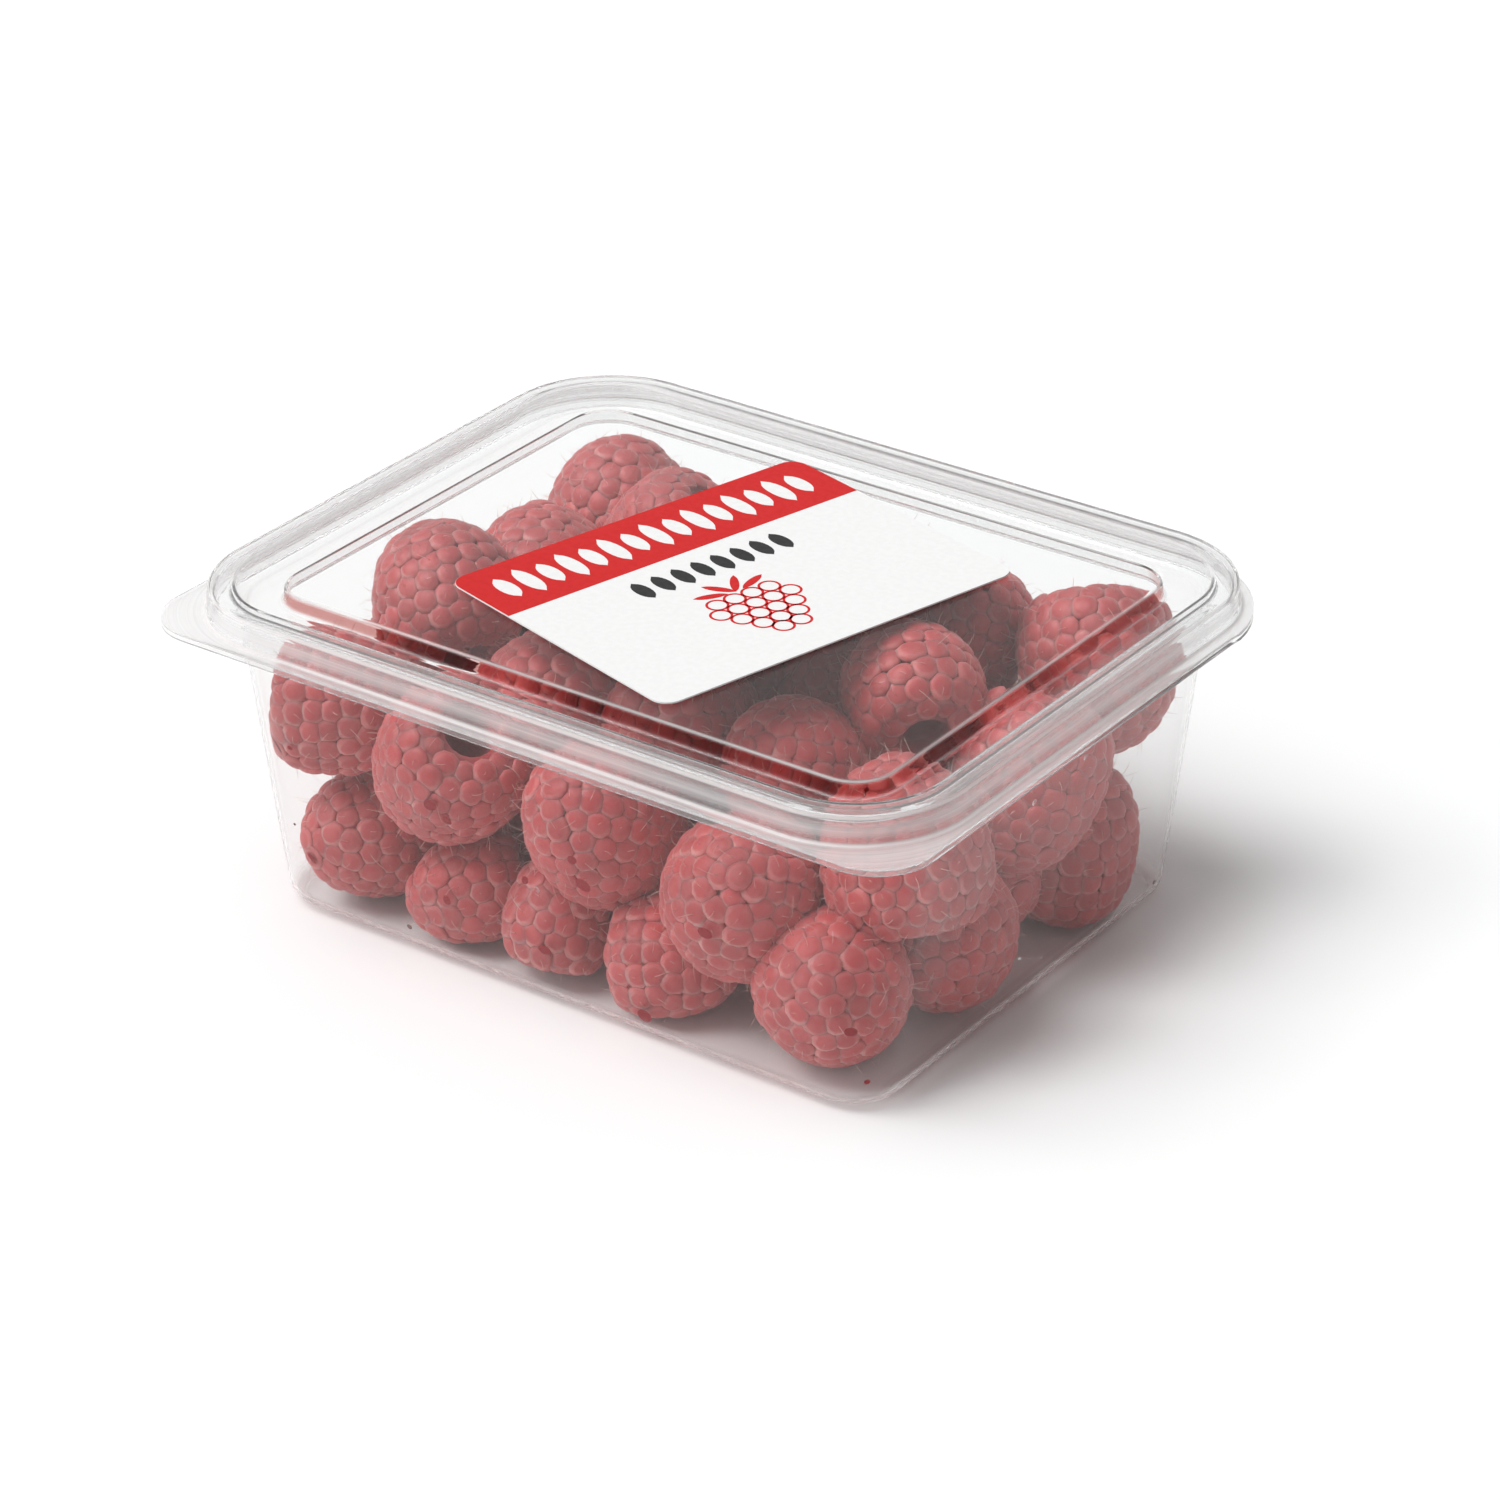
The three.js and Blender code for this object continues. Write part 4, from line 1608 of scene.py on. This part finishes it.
@dataclass
class WallMarks:
    """Juice spots, specks and drops that stick to the inside of the tray's wall."""

    marks: tuple[Mark, ...]
    name: str
    material: bpy.types.Material
    slot: Slot = Slot.FRUIT
    thickness: float = 0.22
    gap: float = 0.02
    spread: float = 1.15
    top_from: float = 0.3
    top_widening: float = 1.15
    top_flattening: float = 0.8
    sharp_from: float = 60.0
    sizes: PackSizes = SIZES

    def spot_on_front(self, along: float, inward: float) -> tuple[Vector, float]:
        """Finds a place on the front wall, and on round its right corner.

        Args:
            along: how far along the wall, in millimetres.
            inward: the outset of the place from the panel.

        Returns:
            The place without its height, and the way the wall has turned there.
        """
        straight = self.sizes.panel_length / 2 - self.sizes.panel_corner
        depth = self.sizes.panel_width / 2 - self.sizes.panel_corner
        radius = self.sizes.panel_corner + inward
        angle = max(0.0, along - straight) / radius
        x = min(along, straight) + radius * math.sin(angle)
        return Vector((x, -depth - radius * math.cos(angle), 0)), angle

    def one(self, mark: Mark) -> bpy.types.Object:
        """Models one mark as a flattened drop lying on the wall.

        Args:
            mark: its place and size.

        Returns:
            The drop.
        """
        top_outset, top_height = beside(rim_line(self.sizes), self.sizes.nesting)[0]
        rounding = self.sizes.base_rounding
        run = (top_outset - self.sizes.base_outset) / (top_height - rounding)
        outset = self.sizes.base_outset - self.sizes.sheet + run * (mark.height - rounding)
        lean = math.atan(run)
        deselect_all()
        bpy.ops.mesh.primitive_uv_sphere_add(segments=12, ring_count=6, radius=0.5)
        drop = bpy.context.object
        edit(drop)
        select_vertices(drop, lambda vertex: vertex.co.z > self.top_from)
        flatter = (self.top_widening, self.top_widening, self.top_flattening)
        bpy.ops.transform.resize(value=flatter, center_override=(0, 0, 0))
        leave_edit()
        drop.scale = Vector((mark.length * self.spread, mark.breadth * self.spread, self.thickness)) * MM
        drop.rotation_euler = (0, 0, math.radians(mark.turn))
        apply_place(drop)
        inward = outset - self.gap / math.cos(lean) - self.thickness / 2 / math.cos(lean)
        place, turned = Vector((self.sizes.panel_length / 2 + inward, mark.along, 0)), math.radians(90)
        if mark.on_front:
            place, turned = self.spot_on_front(mark.along, inward)
        drop.rotation_euler = (math.radians(90) + lean, 0, turned)
        drop.location = (place + Vector((0, 0, mark.height))) * MM
        apply_place(drop)
        smooth(drop, self.sharp_from)
        return drop

    def build(self) -> None:
        """Builds all marks as one piece and dresses it."""
        made = [self.one(mark) for mark in self.marks]
        finish_piece(join(made, self.name), self.material)


def wet_finish(name: str, colour: tuple[float, float, float]) -> PlainFinish:
    """Gives the finish of a small wet spot."""
    return PlainFinish(name, colour, tuple(part * 1.2 for part in colour), 0.25, 0.0, 2000.0, 0.15)


def build_marks() -> None:
    """Builds everything that sticks to the wall."""
    juice = wet_finish("raspberry_juice", JUICE_COLOUR)
    WallMarks(JUICE_SPOTS, "juice_spots", juice.material()).build()
    specks = PlainFinish("dry_specks", (0.16, 0.085, 0.08), (0.22, 0.12, 0.11), 0.6, 0.1, 3000.0)
    WallMarks(BROWN_SPECKS, "dry_specks", specks.material()).build()
    water = ClearPlastic("water_drops", ior=1.33, roughness=0.0, roughness_patches=0.01)
    WallMarks(CLEAR_DROPS, "water_drops", water.material(), Slot.PLASTIC).build()


# ---- the label ----------------------------------------------------------------------------------------
@dataclass
class Label:
    """The paper label stuck askew on the lid, with its plain printed shapes."""

    length: float = 71.0
    width: float = 55.0
    corner: float = 3.0
    paper: float = 0.26
    ink: float = 0.03
    lift: float = 0.03
    centre: tuple[float, float] = (0.6, 1.7)
    turn: float = 75.0
    band_from: float = 11.5
    band_edge: float = 0.04
    upper_row: float = 19.5
    lower_row: float = 5.0
    drawing_middle: float = -3.0
    ring_rows: tuple[tuple[int, float], ...] = ((4, -6.4), (5, -9.5), (4, -12.6), (3, -15.6), (2, -18.4))
    ring_pitch: float = 3.5
    ring_radius: float = 1.9
    ring_line: float = 0.42
    leaves: tuple[tuple[float, float, float], ...] = (
        (-7.2, -3.4, 160), (-4.6, -2.2, 125), (-1.4, -2.2, 55), (1.2, -3.4, 20),
    )
    leaf_size: tuple[float, float] = (5.2, 1.5)
    point_from: float = 0.9
    point_scale: tuple[float, float, float] = (0.3, 1.12, 1.0)
    upper_count: int = 15
    upper_pitch: float = 4.25
    upper_sizes: Line = field(default_factory=lambda: [(6.8, 3.0), (8.4, 3.0)])
    lower_count: int = 8
    lower_pitch: float = 4.0
    lower_sizes: Line = field(default_factory=lambda: [(5.6, 2.7)])
    white: PlainFinish = PlainFinish(
        "label_paper", (0.815, 0.815, 0.81), (0.84, 0.84, 0.835), 0.42, 0.06, 900.0
    )
    red: PlainFinish = PlainFinish(
        "red_ink", (0.56, 0.008, 0.008), (0.59, 0.012, 0.012), 0.55, 0.04, 900.0, 0.2
    )
    white_ink: PlainFinish = PlainFinish(
        "white_ink", (0.80, 0.80, 0.795), (0.84, 0.84, 0.835), 0.42, 0.04, 900.0
    )
    black: PlainFinish = PlainFinish(
        "black_ink", (0.012, 0.012, 0.013), (0.02, 0.02, 0.02), 0.5, 0.04, 900.0, 0.2
    )
    sizes: PackSizes = SIZES

    def slab(
        self,
        low: tuple[float, float],
        high: tuple[float, float],
        bottom: float,
        top: float,
        corners: tuple[int, ...],
    ) -> bpy.types.Object:
        """Makes a thin slab with some of its corners rounded.

        Args:
            low: its lowest x and y on the label.
            high: its highest x and y on the label.
            bottom: the height of its underside.
            top: the height of its upper side.
            corners: the side signs of y whose corners are rounded.

        Returns:
            The slab, lying as the label lies.
        """
        deselect_all()
        middle = ((low[0] + high[0]) / 2 * MM, (low[1] + high[1]) / 2 * MM, bottom * MM)
        bpy.ops.mesh.primitive_plane_add(size=2, location=middle)
        slab = bpy.context.object
        slab.scale = ((high[0] - low[0]) / 2 * MM, (high[1] - low[1]) / 2 * MM, 1)
        apply_place(slab)
        for side in corners:
            edge = (high[1] if side > 0 else low[1]) * MM
            edit(slab)
            select_vertices(slab, lambda vertex, edge=edge: abs(vertex.co.y - edge) < NEARLY * MM)
            bpy.ops.mesh.bevel(offset=self.corner * MM, segments=8, affect="VERTICES", clamp_overlap=False)
            leave_edit()
        self.raise_slab(slab, top - bottom)
        return slab

    def raise_slab(self, flat: bpy.types.Object, thickness: float) -> None:
        """Gives a flat shape its thickness, upwards.

        Args:
            flat: the flat shape.
            thickness: how thick it gets.
        """
        edit(flat)
        bpy.ops.mesh.select_all(action="SELECT")
        bpy.ops.mesh.extrude_region_move(TRANSFORM_OT_translate={"value": (0, 0, thickness * MM)})
        leave_edit()
        outward(flat)

    def lay(self, obj: bpy.types.Object) -> bpy.types.Object:
        """Turns and moves a finished label piece to where the label lies on the lid.

        Args:
            obj: the piece.

        Returns:
            The same piece.
        """
        obj.rotation_euler = (0, 0, math.radians(self.turn))
        obj.location = (self.centre[0] * MM, self.centre[1] * MM, 0)
        apply_place(obj)
        return obj

    def leaf(
        self, x: float, y: float, length: float, width: float, turn: float, bottom: float
    ) -> bpy.types.Object:
        """Makes one flat pointed leaf.

        Args:
            x: its middle on the label.
            y: its middle on the label.
            length: its length.
            width: its width.
            turn: the way it points, in degrees from the label's long side.
            bottom: the height of its underside.

        Returns:
            The leaf.
        """
        deselect_all()
        bpy.ops.mesh.primitive_circle_add(vertices=20, radius=1, fill_type="NGON")
        leaf = bpy.context.object
        edit(leaf)
        select_vertices(leaf, lambda vertex: abs(vertex.co.y) > self.point_from)
        bpy.ops.transform.resize(value=self.point_scale, center_override=(0, 0, 0))
        leave_edit()
        leaf.scale = (width / 2 * MM, length / 2 * MM, 1)
        leaf.rotation_euler = (0, 0, math.radians(turn - 90))
        leaf.location = (x * MM, y * MM, bottom * MM)
        apply_place(leaf)
        self.raise_slab(leaf, self.ink)
        return leaf

    def ring(self, x: float, y: float, radius: float, line: float, bottom: float) -> bpy.types.Object:
        """Makes one printed ring.

        Args:
            x: its middle on the label.
            y: its middle on the label.
            radius: its outer radius.
            line: how wide its line is.
            bottom: the height of its underside.

        Returns:
            The ring.
        """
        deselect_all()
        place = (x * MM, y * MM, bottom * MM)
        bpy.ops.mesh.primitive_circle_add(vertices=24, radius=radius * MM, fill_type="NGON", location=place)
        ring = bpy.context.object
        apply_place(ring)
        edit(ring)
        bpy.ops.mesh.select_all(action="SELECT")
        bpy.ops.mesh.inset(thickness=line * MM, depth=0)
        bpy.ops.mesh.delete(type="FACE")
        leave_edit()
        self.raise_slab(ring, self.ink)
        return ring

    def drawing(self, bottom: float) -> list[bpy.types.Object]:
        """Draws a plain berry: rings in rows under a few leaves.

        Args:
            bottom: the height of its underside.

        Returns:
            Its rings and leaves.
        """
        made = []
        for count, y in self.ring_rows:
            for index in range(count):
                x = self.drawing_middle + (index - (count - 1) / 2) * self.ring_pitch
                made.append(self.ring(x, y, self.ring_radius, self.ring_line, bottom))
        for x, y, turn in self.leaves:
            made.append(self.leaf(x, y, *self.leaf_size, turn, bottom))
        return made

    def row_of_leaves(
        self, count: int, pitch: float, y: float, sizes: Line, bottom: float
    ) -> list[bpy.types.Object]:
        """Makes a row of upright leaves about the label's middle.

        Args:
            count: how many.
            pitch: how far apart.
            y: the row's middle on the label.
            sizes: the lengths and widths that the leaves take in turn.
            bottom: the height of their undersides.

        Returns:
            The leaves.
        """
        middle = (count - 1) / 2
        return [
            self.leaf((index - middle) * pitch, y, *sizes[index % len(sizes)], 90, bottom)
            for index in range(count)
        ]

    def put(self, pieces: list[bpy.types.Object], name: str, finish: PlainFinish, replaced: str = "") -> None:
        """Joins flat pieces, lays them on the lid and dresses them.

        Args:
            pieces: the pieces.
            name: the name of the joined piece.
            finish: its finish.
            replaced: the solid that it stands for, if any.
        """
        finish_piece(self.lay(join(pieces, name)), finish.material(), replaced)

    def build(self) -> None:
        """Builds the paper and its print, and dresses them."""
        half_length, half_width = self.length / 2, self.width / 2
        floor = self.sizes.panel_top + self.lift
        top = floor + self.paper
        paper = self.slab((-half_length, -half_width), (half_length, half_width), floor, top, (-1, 1))
        self.put([paper], "label_sheet", self.white, "label")
        band = self.slab(
            (-half_length + self.band_edge, self.band_from),
            (half_length - self.band_edge, half_width - self.band_edge),
            top, top + self.ink, (1,),
        )
        self.put([band, *self.drawing(top)], "label_red_print", self.red)
        above = top + self.ink
        upper = self.row_of_leaves(
            self.upper_count, self.upper_pitch, self.upper_row, self.upper_sizes, above
        )
        self.put(upper, "label_white_print", self.white_ink)
        lower = self.row_of_leaves(self.lower_count, self.lower_pitch, self.lower_row, self.lower_sizes, top)
        self.put(lower, "label_black_print", self.black)


# ---- the studio ---------------------------------------------------------------------------------------
@dataclass(frozen=True)
class Lamp:
    """A soft lamp far away, which shines evenly over the whole floor."""

    name: str
    azimuth: float
    elevation: float
    power: float
    softness: float

    def build(self) -> None:
        """Adds the lamp."""
        data = bpy.data.lights.new(self.name, "SUN")
        data.energy = self.power
        data.angle = math.radians(self.softness)
        lamp = bpy.data.objects.new(self.name, data)
        bpy.context.scene.collection.objects.link(lamp)
        lamp.rotation_mode = "QUATERNION"
        turn, rise = math.radians(self.azimuth), math.radians(self.elevation)
        source = Vector((math.cos(turn) * math.cos(rise), math.sin(turn) * math.cos(rise), math.sin(rise)))
        lamp.rotation_quaternion = source.to_track_quat("Z", "Y")


@dataclass
class Studio:
    """A pale floor, soft lamps and the camera."""

    camera_place: tuple[float, float, float] = (408.04, -554.73, 398.63)
    azimuth: float = 36.0022
    elevation: float = 28.4155
    roll: float = -0.42
    lens: float = 117.05
    world_light: float = 0.38
    world_shown: float = 0.75
    floor_side: float = 6.0
    lamps: tuple[Lamp, ...] = (
        Lamp("main_light", -130.0, 65.0, 1.75, 34.0),
        Lamp("front_light", -140.0, 45.0, 0.85, 28.0),
        Lamp("low_light", -115.0, 18.0, 0.4, 40.0),
        Lamp("back_light", 125.0, 30.0, 0.12, 60.0),
    )

    def camera(self) -> None:
        """Makes the camera and sets it for the scene."""
        data = bpy.data.cameras.new("camera")
        data.sensor_width = 36.0
        data.lens = self.lens
        data.clip_start, data.clip_end = 0.01, 20.0
        camera = bpy.data.objects.new("camera", data)
        bpy.context.scene.collection.objects.link(camera)
        turn, rise, roll = (math.radians(a) for a in (self.azimuth, self.elevation, self.roll))
        back = Vector((math.sin(turn) * math.cos(rise), -math.cos(turn) * math.cos(rise), math.sin(rise)))
        level = Vector((math.cos(turn), math.sin(turn), 0))
        up = back.cross(level)
        right = level * math.cos(roll) + up * math.sin(roll)
        above = up * math.cos(roll) - level * math.sin(roll)
        place = Matrix((right, above, back)).transposed().to_4x4()
        place.translation = Vector(self.camera_place) * MM
        camera.matrix_world = place
        bpy.context.scene.camera = camera

    def build(self) -> None:
        """Builds the floor, the lamps, the surroundings and the camera."""
        deselect_all()
        bpy.ops.mesh.primitive_plane_add(size=self.floor_side, location=(0, 0, 0))
        floor = bpy.context.object
        floor.name = "studio_floor"
        paper = PlainFinish("studio_floor", (0.935, 0.945, 0.944), (0.94, 0.95, 0.949), 0.9, 0.0, 5.0)
        floor.data.materials.append(paper.material())
        world = bpy.data.worlds.new("surroundings")
        bpy.context.scene.world = world
        world.use_nodes = True
        light = world.node_tree.nodes["Background"]
        light.inputs["Color"].default_value = (1.0, 1.0, 1.0, 1.0)
        nodes = Nodes(world.node_tree)
        rays = nodes.add("ShaderNodeLightPath")
        mirrored = nodes.math("MAXIMUM", rays.outputs["Is Glossy Ray"], rays.outputs["Is Transmission Ray"])
        seen = nodes.math("MAXIMUM", mirrored, rays.outputs["Is Camera Ray"])
        extra = nodes.math("MULTIPLY", seen, self.world_shown - self.world_light)
        nodes.link(nodes.math("ADD", extra, self.world_light), light.inputs["Strength"])
        for lamp in self.lamps:
            lamp.build()
        self.camera()
        bpy.context.scene.view_settings.view_transform = "Standard"


def main() -> None:
    """Builds the punnet's pieces in order."""
    logging.basicConfig(level=logging.INFO, format="%(name)s: %(message)s")
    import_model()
    Pack().build()
    Heap().build()
    build_marks()
    Label().build()
    Studio().build()


if __name__ == "__main__":
    main()
